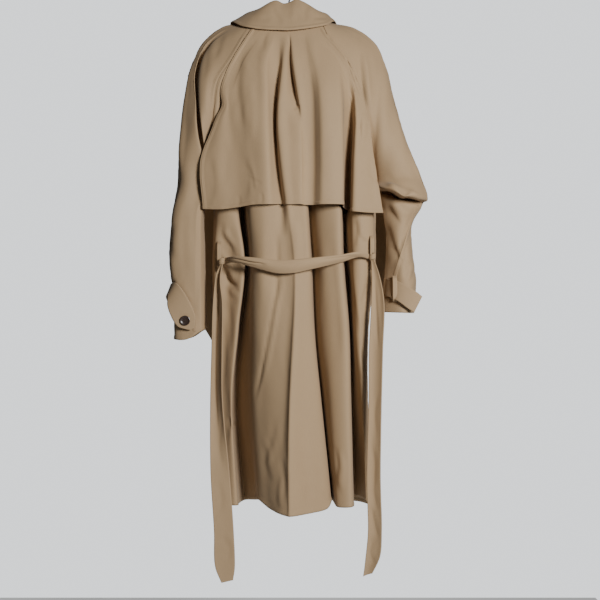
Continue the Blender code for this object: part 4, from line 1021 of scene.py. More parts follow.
grid = recolumned(back_dense, column_plan(back_lines, BACK_COLUMN),
                  left=body_trims["left", "back"], right=body_trims["right", "back"])
free = np.clip((UNDER_FLAP_TO - grid[..., 2]) / UNDER_FLAP_EASE, UNDER_FLAP_SHARE, 1)
grid = lived_in(grid, TO_BACK, BACK_SEED, BACK_CREASES, keep=free)
sunk = sum(crease(grid[..., 0], grid[..., 2], *fold) for fold in UNDER_FLAP)
grid += outward(grid, TO_BACK) * sunk[..., None]
grids["back"] = seamed(grid, TO_BACK, BACK_PUCKER_SEED)
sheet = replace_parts(cloth("back", grids["back"]), "back")
thread = edge_threads("back", grids["back"], TO_BACK, ("left", "right", "bottom"), [HEM_STITCH])


# ---------------------------------------------------------------- storm flap
# A second layer over the shoulder blades, sewn in at the neck and the tops of the raglan seams and
# free at its sides and hem. An inverted pleat opens below a bar tack under the collar.

FLAP_LEVELS = (-140, -208, -272, -340, -424, -529)
# One row a fold line of the flap, from its left edge to its right one:
# name, x at each level, depth (-y) at each level, height of the hem
FLAP_FOLDS = [
    ("left edge",     (-91, -131, -154, -166, -197, -192), (50, 62, 63, 64, 63, 60), -534),
    ("left panel",    (-82, -124, -145, -151, -156, -150), (50, 64, 68, 72, 75, 74), -536),
    ("trough 1",      (-67, -116, -134, -131, -117, -109), (50, 65, 69, 74, 79, 82), -532),
    ("slope",         (-51, -86, -98, -94, -82, -77),      (51, 73, 81, 88, 94, 98), -528),
    ("ridge 1",       (-35, -50, -50, -49, -46, -43),      (51, 78, 90, 98, 105, 108), -528),
    ("pleat, wall",   (-30, -40, -41, -38, -34, -28),      (51, 70, 80, 83, 88, 98), -527),
    ("pleat, floor",  (-22, -21, -25, -28, -25, -14),      (51, 64, 65, 67, 74, 89), -526),
    ("pleat, left",   (-9, -12, -19, -23, -17, -4),        (51, 76, 89, 98, 104, 107), -528),
    ("pleat, middle", (-4, -4, -5, 0, 4, 11),              (51, 74, 87, 96, 104, 108), -528),
    ("pleat, tuck",   (1, 5, 14, 24, 28, 28),              (51, 56, 68, 96, 105, 109), -528),
    ("pleat, right",  (4, 10, 19, 30, 33, 33),             (51, 79, 90, 95, 100, 105), -529),
    ("right panel",   (14, 26, 36, 41, 43, 43),            (51, 77, 88, 92, 95, 101), -529),
    ("rise 2, foot",  (24, 42, 52, 55, 56, 55),            (51, 75, 88, 93, 96, 102), -529),
    ("rise 2",        (30, 50, 60, 64, 65, 64),            (51, 76, 95, 103, 107, 112), -529),
    ("rise 2, head",  (38, 60, 70, 74, 75, 74),            (51, 78, 102, 112, 117, 121), -529),
    ("ridge 2",       (55, 101, 112, 116, 117, 117),       (50, 72, 94, 104, 111, 115), -529),
    ("gully, wall",   (64, 114, 124, 123, 121, 120),       (50, 66, 74, 72, 66, 64), -530),
    ("gully, floor",  (70, 124, 137, 142, 140, 138),       (50, 64, 66, 48, 26, 14), -535),
    ("gully, lip",    (77, 133, 146, 150, 146, 143),       (50, 63, 73, 82, 88, 90), -542),
    ("side panel",    (81, 136, 155, 163, 168, 176),       (50, 62, 68, 76, 82, 80), -544),
    ("right edge",    (86, 139, 162, 179, 191, 211),       (50, 61, 62, 66, 66, 62), -543),
]
FLAP_NECK = (-68, 66, -103, 34)        # x from and to, height and depth of the neck edge
FLAP_LEVEL_STEPS = [9, 16, 14, 15, 19, 24]
FLAP_COLUMN = 4.2 * MM                 # width of a column
FLAP_SEED, FLAP_PUCKER_SEED = 14, 5
FLAP_CLEARANCE = 2.8 * MM              # from the middle of the cloth below to that of the flap
FLAP_SEATED = 1.6 * MM                 # the same where the flap is sewn into the raglan seams
FLAP_SEWN_TO = -265 * MM               # height down to which it is sewn in
FLAP_COMES_FREE = 50 * MM              # over which it comes free, above that height
FLAP_PRESSED = 30 * MM                 # width beside the seams in which it is drawn to the back
BAR_TACK = (-2.6, -160, -169)          # of the pleat: x, top, bottom
BAR_TACK_STITCH = (0.9, 4.6, 1.2)      # length along the tack, across it, height
FLAP_NOTCH = [(-156, -302, 18, 24, 11)]      # local moves in x of its left edge

# Creases of the flap: path (x, z), half width, depth
FLAP_CREASES = [
    ([(-96, -150), (-108, -190), (-112, -240), (-106, -320), (-98, -400)], 9, 1.8),
    ([(-120, -240), (-112, -300), (-102, -360)], 8, 1.4),
    ([(-86, -250), (-78, -320), (-80, -390)], 7, -1.2),
    ([(-66, -160), (-70, -230), (-64, -300)], 8, 1.0),
    ([(-92, -466), (-74, -474), (-58, -482)], 2.6, 1.0),
    ([(-88, -440), (-80, -468), (-76, -500)], 3.4, 1.0),
    ([(-98, -420), (-90, -470), (-96, -520)], 7, 1.4),
    ([(-150, -380), (-140, -430), (-146, -490)], 12, 1.2),
    ([(-176, -420), (-168, -470), (-172, -520)], 8, 1.2),
    ([(-60, -500), (-57, -514), (-58, -527)], 3, 0.9),
    ([(-110, -505), (-108, -518), (-110, -530)], 3, 0.9),
    ([(-46, -124), (-56, -150), (-58, -185)], 6, 1.3),
    ([(-32, -112), (-44, -118), (-66, -120)], 3.6, 2.0),
    ([(-24, -112), (-40, -114), (-60, -114)], 3.0, -1.0),
    ([(30, -120), (38, -170), (44, -230)], 9, 1.5),
    ([(96, -220), (100, -320), (98, -420)], 10, 1.0),
    ([(112, -350), (112, -430), (110, -510)], 7, 1.2),
    ([(21, -300), (17, -308), (10, -318)], 2.6, 2.6),
    ([(15, -311), (19, -309), (26, -308)], 2.2, 1.8),
    ([(4, -268), (-4, -320), (-2, -380)], 9, 1.0),
    ([(154, -459), (168, -456), (182, -458), (197, -472), (211, -492)], 2.8, 2.2),
    ([(176, -440), (190, -456), (200, -470)], 5, 1.6),
    ([(160, -330), (166, -380), (172, -420)], 7, 1.6),
    ([(184, -470), (190, -500), (188, -530)], 7, 1.2),
    ([(128, -150), (142, -205), (150, -250), (152, -300)], 9, 5.0),
]


def soften(field, passes):
    """A field of lifts, smoothed along both ways of a sheet."""
    for _ in range(passes):
        wide = np.pad(field, 1, mode="edge")
        beside = wide[1:-1, :-2] + wide[1:-1, 2:] + wide[:-2, 1:-1] + wide[2:, 1:-1]
        field = (beside + 2 * field) / 6
    return field


def lay_on(grid, tree, clearance, facing=-1, pressed=0.0):
    """The sheet, moved out softly along Y until it is clear of what lies under it. Where it is
    pressed, by a share from 0 to 1, it is also drawn in to lie no higher than that."""
    clearance = np.broadcast_to(clearance, grid.shape[:2])
    needed, above = np.zeros(grid.shape[:2]), np.zeros(grid.shape[:2])
    for place in np.ndindex(needed.shape):
        x, y, z = grid[place]
        hit = met_at(tree, x, z, facing)
        if hit is not None:
            rise = facing * (hit.y - y) + clearance[place]
            needed[place] = max(0, rise)
            above[place] = min(0, rise)
    lift = needed
    for _ in range(4):
        lift = np.maximum(soften(lift, 3), needed)
    lift = np.where(needed > 0, lift, lift * (1 - pressed) + above * pressed)
    moved = grid.copy()
    moved[..., 1] += facing * lift
    return moved


x0, x1, z0, depth = FLAP_NECK
net = [[(x, -depth, z0) for x in np.linspace(x0, x1, len(FLAP_FOLDS))]]
for k, level in enumerate(FLAP_LEVELS):
    last = k == len(FLAP_LEVELS) - 1
    net.append([(x[k], -y[k], hem if last else level) for _, x, y, hem in FLAP_FOLDS])
flap_lines = curve_through(np.array(net, float) * MM, FLAP_LEVEL_STEPS)
flap = rerowed(recolumned(across_each_row(flap_lines, FINE), column_plan(flap_lines, FLAP_COLUMN)))
flap = lived_in(nudged(flap, 0, FLAP_NOTCH), TO_BACK, FLAP_SEED, FLAP_CREASES)
body_tree = sheet_tree([grids[name] for name in ("back", "sleeve_left_back", "sleeve_right_back")])
round_it = lengths_across(flap)
from_side = np.minimum(round_it, round_it[:, -1:] - round_it)
sewn = np.clip((flap[..., 2] - FLAP_SEWN_TO) / FLAP_COMES_FREE, 0, 1)
sewn *= np.clip(1 - from_side / FLAP_PRESSED, 0, 1)
clearance = FLAP_CLEARANCE - (FLAP_CLEARANCE - FLAP_SEATED) * sewn
flap = lay_on(flap, body_tree, clearance, pressed=np.sqrt(sewn))
flap = seamed(flap, TO_BACK, FLAP_PUCKER_SEED)
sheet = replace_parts(cloth("storm_flap_back", flap), "storm_flap_back")
# A short dense row of thread holds the pleat at its top
flap_tree = sheet_tree([flap])
x, top, bottom = BAR_TACK
places = [(x * MM, z * MM) for z in np.linspace(top, bottom, 9)]
tack = np.array([(x, met_at(flap_tree, x, z, -1).y - CLOTH / 2, z) for x, z in places])
tack_run = (tack, np.array([TO_BACK] * len(tack)))
bar_tack = stitches("storm_flap_tack", [tack_run], BAR_TACK_STITCH[0], BAR_TACK_STITCH)
flap_thread = stitches("storm_flap_thread", [
    stitch_row(flap, TO_BACK, "bottom", HEM_STITCH),
    stitch_row(flap, TO_BACK, "left", HEM_STITCH, 0.1),
    stitch_row(flap, TO_BACK, "right", HEM_STITCH, 0.1),
])


# ---------------------------------------------------------------- collar
# The collar is a stand in the neck seam and a fall that turns over it, rolled at its top and
# topstitched round its edge. It is two layers of the cloth with an interlining.

# Stations round the neck from the left lapel over the back to the right one. Neck seam (x, y, z),
# roll line (x, y, z), outer edge of the fall (x, y, z)
COLLAR = [
    ((-70, 52, -124), (-72, 62, -114), (-106, 90, -194)),
    ((-79, 32, -112), (-84, 38, -98), (-120, 70, -146)),
    ((-82, 2, -102), (-85, 4, -80), (-134, 2, -101)),
    ((-68, -26, -99), (-62, -18, -72), (-100, -46, -122)),
    ((-32, -30, -98), (-30, -25, -58), (-60, -56, -131)),
    ((-12, -31, -98), (-12, -26, -65), (-26, -59, -133)),
    ((0, -31, -98), (2, -26, -62), (-2, -60, -134)),
    ((14, -31, -98), (16, -26, -55), (22, -59, -132)),
    ((32, -30, -98), (31, -25, -60), (48, -56, -128)),
    ((66, -26, -99), (60, -18, -76), (83, -46, -119)),
    ((81, 2, -102), (82, 4, -84), (107, 2, -99)),
    ((77, 32, -112), (84, 38, -100), (110, 70, -148)),
    ((70, 52, -124), (72, 62, -116), (102, 90, -194)),
]
STAND_LIFT = 1.0 * MM             # the stand starts above the neck seam, inside the coat
STAND_INSET = 0.97                # the stand's ring is this much smaller than the seam's
FALL_ROLL = 1.9 * MM              # the fall turns over this far above the stand
ROLL_DEPTH = 9 * MM               # how far the fall's edge turns down inside the stand
ROLL_INSET = 0.86
INNER_ROLL = (0.93, 0.9)          # how much smaller the ring just inside the roll line is, x and y
# Rows of the fall from its roll line to its edge: share of the way, height over the straight line
FALL_ROWS = [(0, 1.2), (0.25, 6), (0.6, 4), (1, 0)]
STAND_ENDS = 13                   # stations left off at each end, where the lapels begin
COLLAR_FACING = (0, -1, 0.4)
COLLAR_WALL = 1.8 * MM
COLLAR_STITCH = 6.0               # distance of the row of stitches from the edge
COLLAR_SEED, COLLAR_PUCKER_SEED = 31, 6
COLLAR_CREASES = [
    ([(-40, -70), (-30, -95), (-14, -118)], 6, 1.2),
    ([(44, -66), (36, -90), (40, -112)], 6, 1.2),
    ([(6, -66), (10, -90), (4, -112)], 7, -0.8),
    ([(-84, -96), (-62, -104), (-40, -104)], 6, 1.0),
    ([(90, -96), (70, -100), (52, -102)], 5, 1.0),
]

stations = curve_through(np.array(COLLAR, float) * MM, 9)
seam_line, roll_line, fall_edge = stations[:, 0], stations[:, 1], stations[:, 2]
foot, head = seam_line + [0, 0, STAND_LIFT], roll_line - [0, 0, FALL_ROLL]
stand = np.array([foot, (seam_line + roll_line) / 2, head])
stand[:, :, :2] *= STAND_INSET
stand = curve_through(stand, 5)[:, STAND_ENDS:-STAND_ENDS]
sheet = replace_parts(cloth("collar_stand", stand), "collar_stand")

spread = fall_edge - roll_line
rolled_in = roll_line * [ROLL_INSET, ROLL_INSET, 1] - [0, 0, ROLL_DEPTH]
inner_roll = roll_line * [*INNER_ROLL, 1] - [0, 0, 1 * MM]
outside = [roll_line + spread * share + [0, 0, rise * MM] for share, rise in FALL_ROWS]
fall = rerowed(curve_through(np.array([rolled_in, inner_roll, *outside]), 7))
fall = lived_in(fall, COLLAR_FACING, COLLAR_SEED, COLLAR_CREASES, grain=0.5)
fall = seamed(fall, COLLAR_FACING, COLLAR_PUCKER_SEED, ("bottom",))
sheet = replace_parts(cloth("collar_fall", fall, wall=COLLAR_WALL), "collar_fall")
collar_thread = edge_threads("collar", fall, COLLAR_FACING, ("bottom",), [COLLAR_STITCH])


# ---------------------------------------------------------------- lapels
# The lapels are the turned-back tops of the fronts, two layers of the cloth, topstitched along
# their edges, and lie on the fronts from the collar to the first buttons.

# Stations down the roll line: roll line (x, z), outer edge (x, z)
LAPELS = {
    "left": [((-73, -130), (-128, -196)), ((-55, -162), (-132, -212)), ((-16, -232), (-98, -282)),
             ((29, -318), (-28, -352)), ((62, -395), (52, -405))],
    "right": [((72, -130), (124, -196)), ((55, -162), (128, -212)), ((22, -232), (96, -282)),
              ((-12, -318), (34, -345)), ((-24, -348), (-16, -356))],
}
LAPEL_DEPTH = 40 * MM              # of the flat lapel, inside the front, before it is laid on it
LAPEL_CLEARANCE = CLOTH + 2.2 * MM
LAPEL_WALL = 1.8 * MM
LAPEL_STITCH = 6.0
LAPEL_SEED = 44
for side in OUT_OF_BODY:
    rows = curve_through(np.array([[(x, 0, z) for x, z in row] for row in LAPELS[side]]) * MM, 14)
    rows = across_each_row(rows, 26)
    rows[..., 1] = LAPEL_DEPTH
    tree = sheet_tree([grids[f"front_{side}"], grids[f"sleeve_{side}_front"]])
    rows = lay_on(rows, tree, LAPEL_CLEARANCE, facing=1)
    rows = lived_in(rows, TO_FRONT, LAPEL_SEED, grain=0.4)
    name = f"lapel_{side}"
    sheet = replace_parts(cloth(name, rows, wall=LAPEL_WALL), name)
    thread = edge_threads(name, rows, TO_FRONT, ("right",), [LAPEL_STITCH], 0.02, 0.9)


# ---------------------------------------------------------------- epaulettes
# Straps of two layers of the cloth on the shoulders, pointed towards the neck, where a button
# holds them. They are topstitched round their edges, and their outer ends lift off the sleeves.

# Rows of the sleeve between which each epaulette lies, the rise of its outer end, and how far round
# the shoulder its middle lies from the overarm seam, + to the front
EPAULETTES = {"left": (1.1, 3.2, 4, 27), "right": (0.75, 2.75, 0, 38)}
EPAULETTE_WIDTHS = np.linspace(-18, 20, 20)     # across the strap, from its middle
EPAULETTE_ROWS = 46
EPAULETTE_ROW_LENGTH = 48 * MM                  # about one row of the sleeve
EPAULETTE_POINT = 11 * MM                       # length of the point
EPAULETTE_POINT_WIDTH = 0.3                     # of its end, as a share of the strap's
EPAULETTE_WALL = 1.9 * MM
EPAULETTE_STITCH = 4.5
EPAULETTE_SEAT = EPAULETTE_WALL / 2 + CLOTH / 2 + 1.4 * MM
EPAULETTE_ARCH = 2.4 * MM
EPAULETTE_ARCH_OVER = 0.3                       # share of the length in which it rises so far
SHOULDER_HEART = np.array([100, 0, -260]) * MM  # a place inside the shoulder, to tell out from in


def on_shoulder(side, row, reach):
    """The point of the sleeve at a row of its table, and a distance round from the overarm seam."""
    back_piece, front_piece = grids[f"sleeve_{side}_back"], grids[f"sleeve_{side}_front"]
    at = row * YOKE_STEPS
    first = int(at)
    one, two = (np.vstack([back_piece[k], front_piece[k]]) for k in (first, first + 1))
    section = one + (two - one) * (at - first)
    length = lengths_along(section)
    return points_at(length[back_piece.shape[1]] + reach, length, section)


def off_shoulder(side, row, reach, lift):
    """The same point, moved out from the cloth."""
    down = on_shoulder(side, row + 0.4, reach) - on_shoulder(side, row - 0.4, reach)
    across = on_shoulder(side, row, reach + 7 * MM) - on_shoulder(side, row, reach - 7 * MM)
    out = np.cross(down, across)
    point = on_shoulder(side, row, reach)
    heart = SHOULDER_HEART * (OUT_OF_BODY[side], 1, 1)
    out *= 1 if np.dot(out, point - heart) > 0 else -1
    return point + out / np.linalg.norm(out) * lift


for side, (first, last, rise, middle) in EPAULETTES.items():
    strip = []
    for share in np.linspace(0, 1, EPAULETTE_ROWS):
        length = share * (last - first) * EPAULETTE_ROW_LENGTH
        full = min(length / EPAULETTE_POINT, 1)
        width = EPAULETTE_POINT_WIDTH + (1 - EPAULETTE_POINT_WIDTH) * full
        arch = EPAULETTE_ARCH * min(share / EPAULETTE_ARCH_OVER, 1)
        lift = EPAULETTE_SEAT + arch + rise * MM * share ** 3
        reaches = (middle + EPAULETTE_WIDTHS * width) * MM
        row = first + (last - first) * share
        strip.append([off_shoulder(side, row, reach, lift) for reach in reaches])
    strip = np.array(strip)
    name = f"epaulette_{side}"
    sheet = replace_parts(cloth(name, strip, wall=EPAULETTE_WALL), name)
    thread = edge_threads(name, strip, (0, 0, 1), ("left", "right"), [EPAULETTE_STITCH], 0.1)


# ---------------------------------------------------------------- cuff straps and keepers
# Straps of two layers of the cloth go round the cuffs through keeper loops, and button on the
# outside. Both are undone enough to hang slack, with their pointed ends down.

def ribbon(path, steps, columns):
    """A strip from a table of stations: its middle (x, y, z), its half width (x, y, z), and how
    far its middle is cupped along Y."""
    path = np.array([[*middle, *half, cup] for middle, half, cup in path], float) * MM
    stations = curve_through(path, steps)[:, None]
    across = np.linspace(-1, 1, columns)[None, :, None]
    rows = stations[..., :3] + stations[..., 3:6] * across
    rows[..., 1:2] += stations[..., 6:] * (1 - across * across)
    return rows


# Stations of each strap: middle (x, y, z), half width (x, y, z), cup
CUFF_STRAPS = {
    "left": [((-238, 29, -735), (0, 0, -21), 0), ((-260, 18, -737), (0, 0, -21), 0),
             ((-272, 2, -729), (-3, 1, -18), 0),
             ((-274, -22, -717), (-6, 3, -15), 0), ((-263, -46, -713), (-10, 4, -13), 0),
             ((-253, -57, -737), (-19, 2, -16), 0), ((-230, -60, -783), (-20, 0, -13), 0),
             ((-221, -60, -796), (-11, 0, -7), 0), ((-216, -60, -803), (-3.5, 0, -2.2), 0)],
    "right": [((221.5, 8, -706), (-2, 0, -20), 0), ((220.5, -8, -708), (-2, 0, -20), 0),
              ((224, -24, -710), (-3, 0, -20), 0), ((234, -41, -713), (-4, 0, -20), 0),
              ((244, -50, -717), (-5, 0, -20), 0), ((257, -57, -725), (-7, 0, -19), 0),
              ((276, -61, -738), (-9, 0, -19), 0), ((290, -60, -748), (-9, 0, -18), 0)],
}
STRAP_WALL = 1.9 * MM
STRAP_STITCH = 5.0
STRAP_SEED = 52
for side, table in CUFF_STRAPS.items():
    name = f"cuff_strap_{side}"
    strip = lived_in(ribbon(table, 10, 17), TO_BACK, STRAP_SEED, grain=0.25)
    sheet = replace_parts(cloth(name, strip, wall=STRAP_WALL), name)
    thread = edge_threads(name, strip, TO_BACK, ("left", "right"), [STRAP_STITCH], 0.35, 0.93)

# Keepers over the straps, and later the belt loops, are short strips of one kind
LOOP_SEAT = CLOTH / MM + 0.5               # from the middle of the cloth below to that of a loop
# Rows of a loop: share of its length, share of its stand
LOOP_ARCH = [(0, 0), (0.12, 0.8), (0.5, 1), (0.88, 0.8), (1, 0)]
LOOP_COLUMNS = 7
LOOP_WALL = 1.8 * MM
LOOP_STITCH = 1.6


def loop_on(name, grid, x, top, bottom, half_width, stand, facing):
    """A short strip, sewn down at its top and its bottom, that stands off the cloth between them.
    Returns how far out its middle stands."""
    surface = sheet_tree([grid])
    table = []
    for share, rise in LOOP_ARCH:
        z = top + (bottom - top) * share
        edges = [(x - half_width) * MM, (x + half_width) * MM]
        y = facing * max(facing * met_at(surface, edge, z * MM, facing).y for edge in edges) / MM
        table.append(((x, y + facing * (LOOP_SEAT + stand * rise), z), (half_width, 0, 0), 0))
    strip = ribbon(table, 9, LOOP_COLUMNS)
    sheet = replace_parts(cloth(name, strip, wall=LOOP_WALL), name)
    thread = edge_threads(name, strip, (0, facing, 0), ("left", "right"), [LOOP_STITCH])
    return table[len(table) // 2][0][1]


# Keepers: the sheet under them, x, top, bottom, half width, stand, facing
KEEPERS = {
    "right": ("sleeve_right_back", 239, -684, -741, 5, 9.5, -1),
    "left": ("sleeve_left_front", -247, -706, -765, 4, 8, 1),
}
for side, (under, *place) in KEEPERS.items():
    loop_on(f"cuff_keeper_{side}", grids[under], *place)


# ---------------------------------------------------------------- belt and its loops
# The belt is two layers of the cloth, 45 mm wide, topstitched along both edges. It hangs slack
# across the back, is gathered and tied at a loop on each side, and its tails hang to the floor.

# Loops on the sides of the back: x, top, bottom
BELT_LOOPS = {"left": (-157, -606, -676), "right": (187, -594, -668)}
BELT_LOOP_HALF_WIDTH = 4.5
BELT_LOOP_STAND = 10
BELT_WIDTH = 45
BELT_WALL = 1.9 * MM
BELT_STITCH = 3.5
loop_fronts = {
    side: loop_on(f"belt_loop_{side}", grids["back"], x, top, bottom, BELT_LOOP_HALF_WIDTH,
                  BELT_LOOP_STAND, -1)
    for side, (x, top, bottom) in BELT_LOOPS.items()
}

# Knots: middle x and z, radius, half height
BELT_KNOTS = {"left": (-150, -651, 7.0, 6.5), "right": (187, -641, 6.5, 6.0)}
KNOT_TURN = 320                            # degrees of the wrap, which is open towards the loop
KNOT_PIECES = 8
KNOT_LEAN = 0.8                            # rise of each piece of the turn
KNOT_SWELL = [0.72, 0.95, 1.05, 0.95, 0.72]
KNOT_PLEATS = 3                            # gathers across the wrap
KNOT_PLEAT_DEPTH = 0.075                   # as a share of the radius
KNOT_COLUMNS = 25
BELT_GAP = 0.4                             # between the knot and what it ties


def knot(side):
    """The wrap of the knot: a short length of gathered belt, bent round the rest. Returns its
    middle and its outer radius."""
    x, z, radius, half_height = BELT_KNOTS[side]
    outer = radius * max(KNOT_SWELL) + CLOTH / MM / 2
    mouth = outer * math.sin(math.radians(180 - KNOT_TURN / 2))
    aside = max(abs(x - BELT_LOOPS[side][0]) - BELT_LOOP_HALF_WIDTH, mouth)
    y = loop_fronts[side] - CLOTH / MM / 2 - BELT_GAP - math.sqrt(outer ** 2 - aside ** 2)
    table = []
    for k in range(KNOT_PIECES + 1):
        turn = math.radians(90 + (360 - KNOT_TURN) / 2 + KNOT_TURN * k / KNOT_PIECES)
        rise = (k - KNOT_PIECES / 2) * KNOT_LEAN
        table.append(((x + math.cos(turn) * radius, y + math.sin(turn) * radius, z + rise),
                      (0, 0, half_height), 0))
    grid = ribbon(table, 8, KNOT_COLUMNS)
    across = np.linspace(-1, 1, KNOT_COLUMNS)
    swell = np.interp(across, np.linspace(-1, 1, len(KNOT_SWELL)), KNOT_SWELL)
    along = np.linspace(0, 1, len(grid))[:, None]
    pleats = np.sin(across[None, :] * KNOT_PLEATS * math.pi + 2.2 * np.sin(along * 5 + x))
    radius_share = swell[None, :] + KNOT_PLEAT_DEPTH * pleats * np.sin(along * math.pi)
    heart = np.array([x, y]) * MM
    grid[..., :2] = heart + (grid[..., :2] - heart) * radius_share[..., None]
    name = f"belt_knot_{side}"
    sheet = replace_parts(cloth(name, grid), name)
    return (x, y, z), outer


knots = {side: knot(side) for side in BELT_KNOTS}


BELT_FOLD_GAP = 2 * BELT_WALL + 0.5 * MM   # between the middles of the two folded layers
BELT_FOLD_MOST = 0.86                      # the most that is folded, as a share of the front layer
BELT_SPAN_COLUMNS = 15


def folded_belt(path, steps):
    """A strip as ribbon makes it, with what is left of the belt's width turned up behind it."""
    behind = np.array(TO_FRONT, float)
    out = []
    for row in ribbon(path, steps, BELT_SPAN_COLUMNS):
        length = lengths_along(row[::-1])
        left_over = min(BELT_WIDTH * MM - length[-1], BELT_FOLD_MOST * length[-1])
        across = (row[-1] - row[0]) / np.linalg.norm(row[-1] - row[0])
        turn = [row[-1] + (across * math.sin(a) + behind * (1 - math.cos(a))) * BELT_FOLD_GAP / 2
                for a in np.radians([36, 72, 108, 144, 180])]
        under = points_at(left_over * np.linspace(0.12, 1, 8), length, row[::-1])
        out.append(np.vstack([row, turn, under + behind * BELT_FOLD_GAP]))
    return np.array(out)


# Stations of the span across the back, between the knots: middle (x, y, z), half width (x, y, z),
# cup
(left_knot, left_outer), (right_knot, right_outer) = knots["left"], knots["right"]
BELT_SPAN = [
    ((left_knot[0] + left_outer + BELT_GAP, left_knot[1], left_knot[2] + 2), (0, 2, -6), 0),
    ((-122, -86, -647), (0, 3, -5), -2), ((-98, -101, -650), (0, 4, -7), -3),
    ((-58, -112, -658), (0, 3, -11), -4), ((-23, -116, -664), (0, 2, -13), -4),
    ((14, -118, -663), (0, 2, -13), -4), ((50, -115, -657), (0, 2, -11), -4),
    ((113, -104, -646), (0, 3, -7), -3), ((152, -88, -637), (0, 3, -5), -2),
    ((right_knot[0] - right_outer - BELT_GAP, right_knot[1], right_knot[2] + 2), (0, 2, -4), 0),
]
# Creases of the span: path (x, z), half width, depth
SPAN_CREASES = [
    ([(-141, -644), (-110, -649), (-80, -656), (-48, -660)], 2.2, 4.2),
    ([(-136, -651), (-104, -656), (-74, -664)], 1.8, -1.0),
    ([(-60, -650), (-20, -656), (20, -656)], 3.0, 0.8),
    ([(60, -652), (100, -646), (150, -640), (172, -641)], 2.4, 1.4),
    ([(130, -646), (155, -643), (174, -645)], 1.6, 1.6),
]
SPAN_SEED = 61
span = lived_in(folded_belt(BELT_SPAN, 14), TO_BACK, SPAN_SEED, SPAN_CREASES, grain=0.35)
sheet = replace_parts(cloth("belt_span", span, wall=BELT_WALL), "belt_span")
thread = edge_threads("belt_span", span, TO_BACK, ("left",), [BELT_STITCH], 0.05, 0.95)

# Tails, below their starts inside the knots
TAIL_START = 3                             # below the knot's middle
TAIL_START_HALF = {"left": (-2.1, 1.5, 0), "right": (-2.8, 2.0, 0)}
BELT_TAILS = {
    "left": [((-157, -68, -690), (-6, 4, 0), 6), ((-158, -72, -745), (-11, 7, 0), 11),
             ((-160, -72, -850), (-12, 8, 0), 12), ((-161, -72, -961), (-14, 8, 0), 11),
             ((-153, -76, -1120), (-21, 1, 0), 2), ((-144, -80, -1249), (-22, 0, 0), 1),
             ((-141, -82, -1330), (-22, 0, 0), 1), ((-136, -83, -1362), (-13, 0, -3), 0)],
    "right": [((195, -66, -688), (-9, 3, 0), 4), ((199, -68, -745), (-14, 5, 0), 6),
              ((195, -68, -850), (-15, 5, 0), 6), ((193, -68, -961), (-14, 5, 0), 6),
              ((190, -68, -1140), (-15, 5, 0), 6), ((192, -70, -1260), (-15, 5, 0), 5),
              ((186, -72, -1320), (-16, 5, -8), 4), ((176, -74, -1350), (-10, 2, -4), 2)],
}
TAIL_CREASES = {
    "left": [
        ([(-156, -655), (-157, -682), (-157, -720), (-158, -790)], 3.0, 5.0),
        ([(-158, -740), (-163, -820), (-164, -930), (-158, -1040)], 3.5, 1.8),
        ([(-150, -1000), (-156, -1060), (-148, -1110)], 6, 1.2),
        ([(-160, -1140), (-150, -1180), (-156, -1220)], 7, 0.8),
        ([(-150, -1260), (-132, -1290), (-138, -1320)], 7, 0.8),
    ],
    "right": [
        ([(192, -690), (196, -760), (200, -850)], 3.5, 1.4),
        ([(198, -950), (192, -990), (196, -1040)], 5, 1.2),
        ([(184, -1060), (192, -1100), (188, -1150)], 5, 1.4),
        ([(196, -1120), (190, -1160), (198, -1210)], 5, 1.2),
        ([(184, -1200), (192, -1240), (200, -1270)], 5, 1.4),
        ([(190, -1270), (182, -1300), (192, -1330)], 5, 1.0),
    ],
}
TAIL_SEEDS = {"left": 74, "right": 75}
for side, table in BELT_TAILS.items():
    x, y, z = knots[side][0]
    name = f"belt_tail_{side}"
    path = [((x, y, z - TAIL_START), TAIL_START_HALF[side], 0), *table]
    tail = lived_in(ribbon(path, 24, 21), TO_BACK, TAIL_SEEDS[side], TAIL_CREASES[side], grain=0.5)
    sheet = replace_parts(cloth(name, tail, wall=BELT_WALL), name)
    thread = edge_threads(name, tail, TO_BACK, ("left", "right"), [BELT_STITCH], 0.1, 0.97)


# ---------------------------------------------------------------- buttons
# Turned four-hole buttons of dark brown horn plastic with a raised rim, sewn on with brown thread:
# one on each cuff strap and epaulette, and two columns of three down the fronts.

BUTTON_RADIUS = 11.3
BUTTON_STEPS = 40              # of the turning
BUTTON_SEAT = 2.2              # from the middle of the cloth to that of the button
FRONT_BUTTON_SEAT = 2.4
FRONT_BUTTONS = {"columns": (-40, 52), "rows": (-455, -570, -685)}
EPAULETTE_BUTTON_RADIUS = 9
EPAULETTE_BUTTON_ROWS = 0.45   # from the epaulette's end, in rows of the sleeve
# Buttons of the cuffs: middle, facing
CUFF_BUTTONS = {"left": ((-232, -63.6, -784), (0.05, -1, 0)), "right": ((278, -57, -741), TO_FRONT)}
# Profile of half a button, from the middle of its back to the middle of its face: (radius, height)
BUTTON_PROFILE = [(0, -1.5), (6.5, -1.5), (9.2, -1.1), (10.7, -0.3), (11.3, 0.5), (11.1, 1.15),
                  (10.4, 1.5), (9.5, 1.45), (8.8, 1.0), (8.2, 0.55), (6.5, 0.35), (3.0, 0.3),
                  (0, 0.3)]
HOLE_RADIUS = 0.95
HOLE_PLACE = 1.9               # of each hole's middle, both ways from the button's
HOLE_FACETS = 14
BUTTON_THREAD_RADIUS = 0.55
BUTTON_THREAD_HEIGHT = 0.55    # over the middle of the button
BUTTON_SHARP = 42              # degrees between faces, past which an edge of the button is sharp


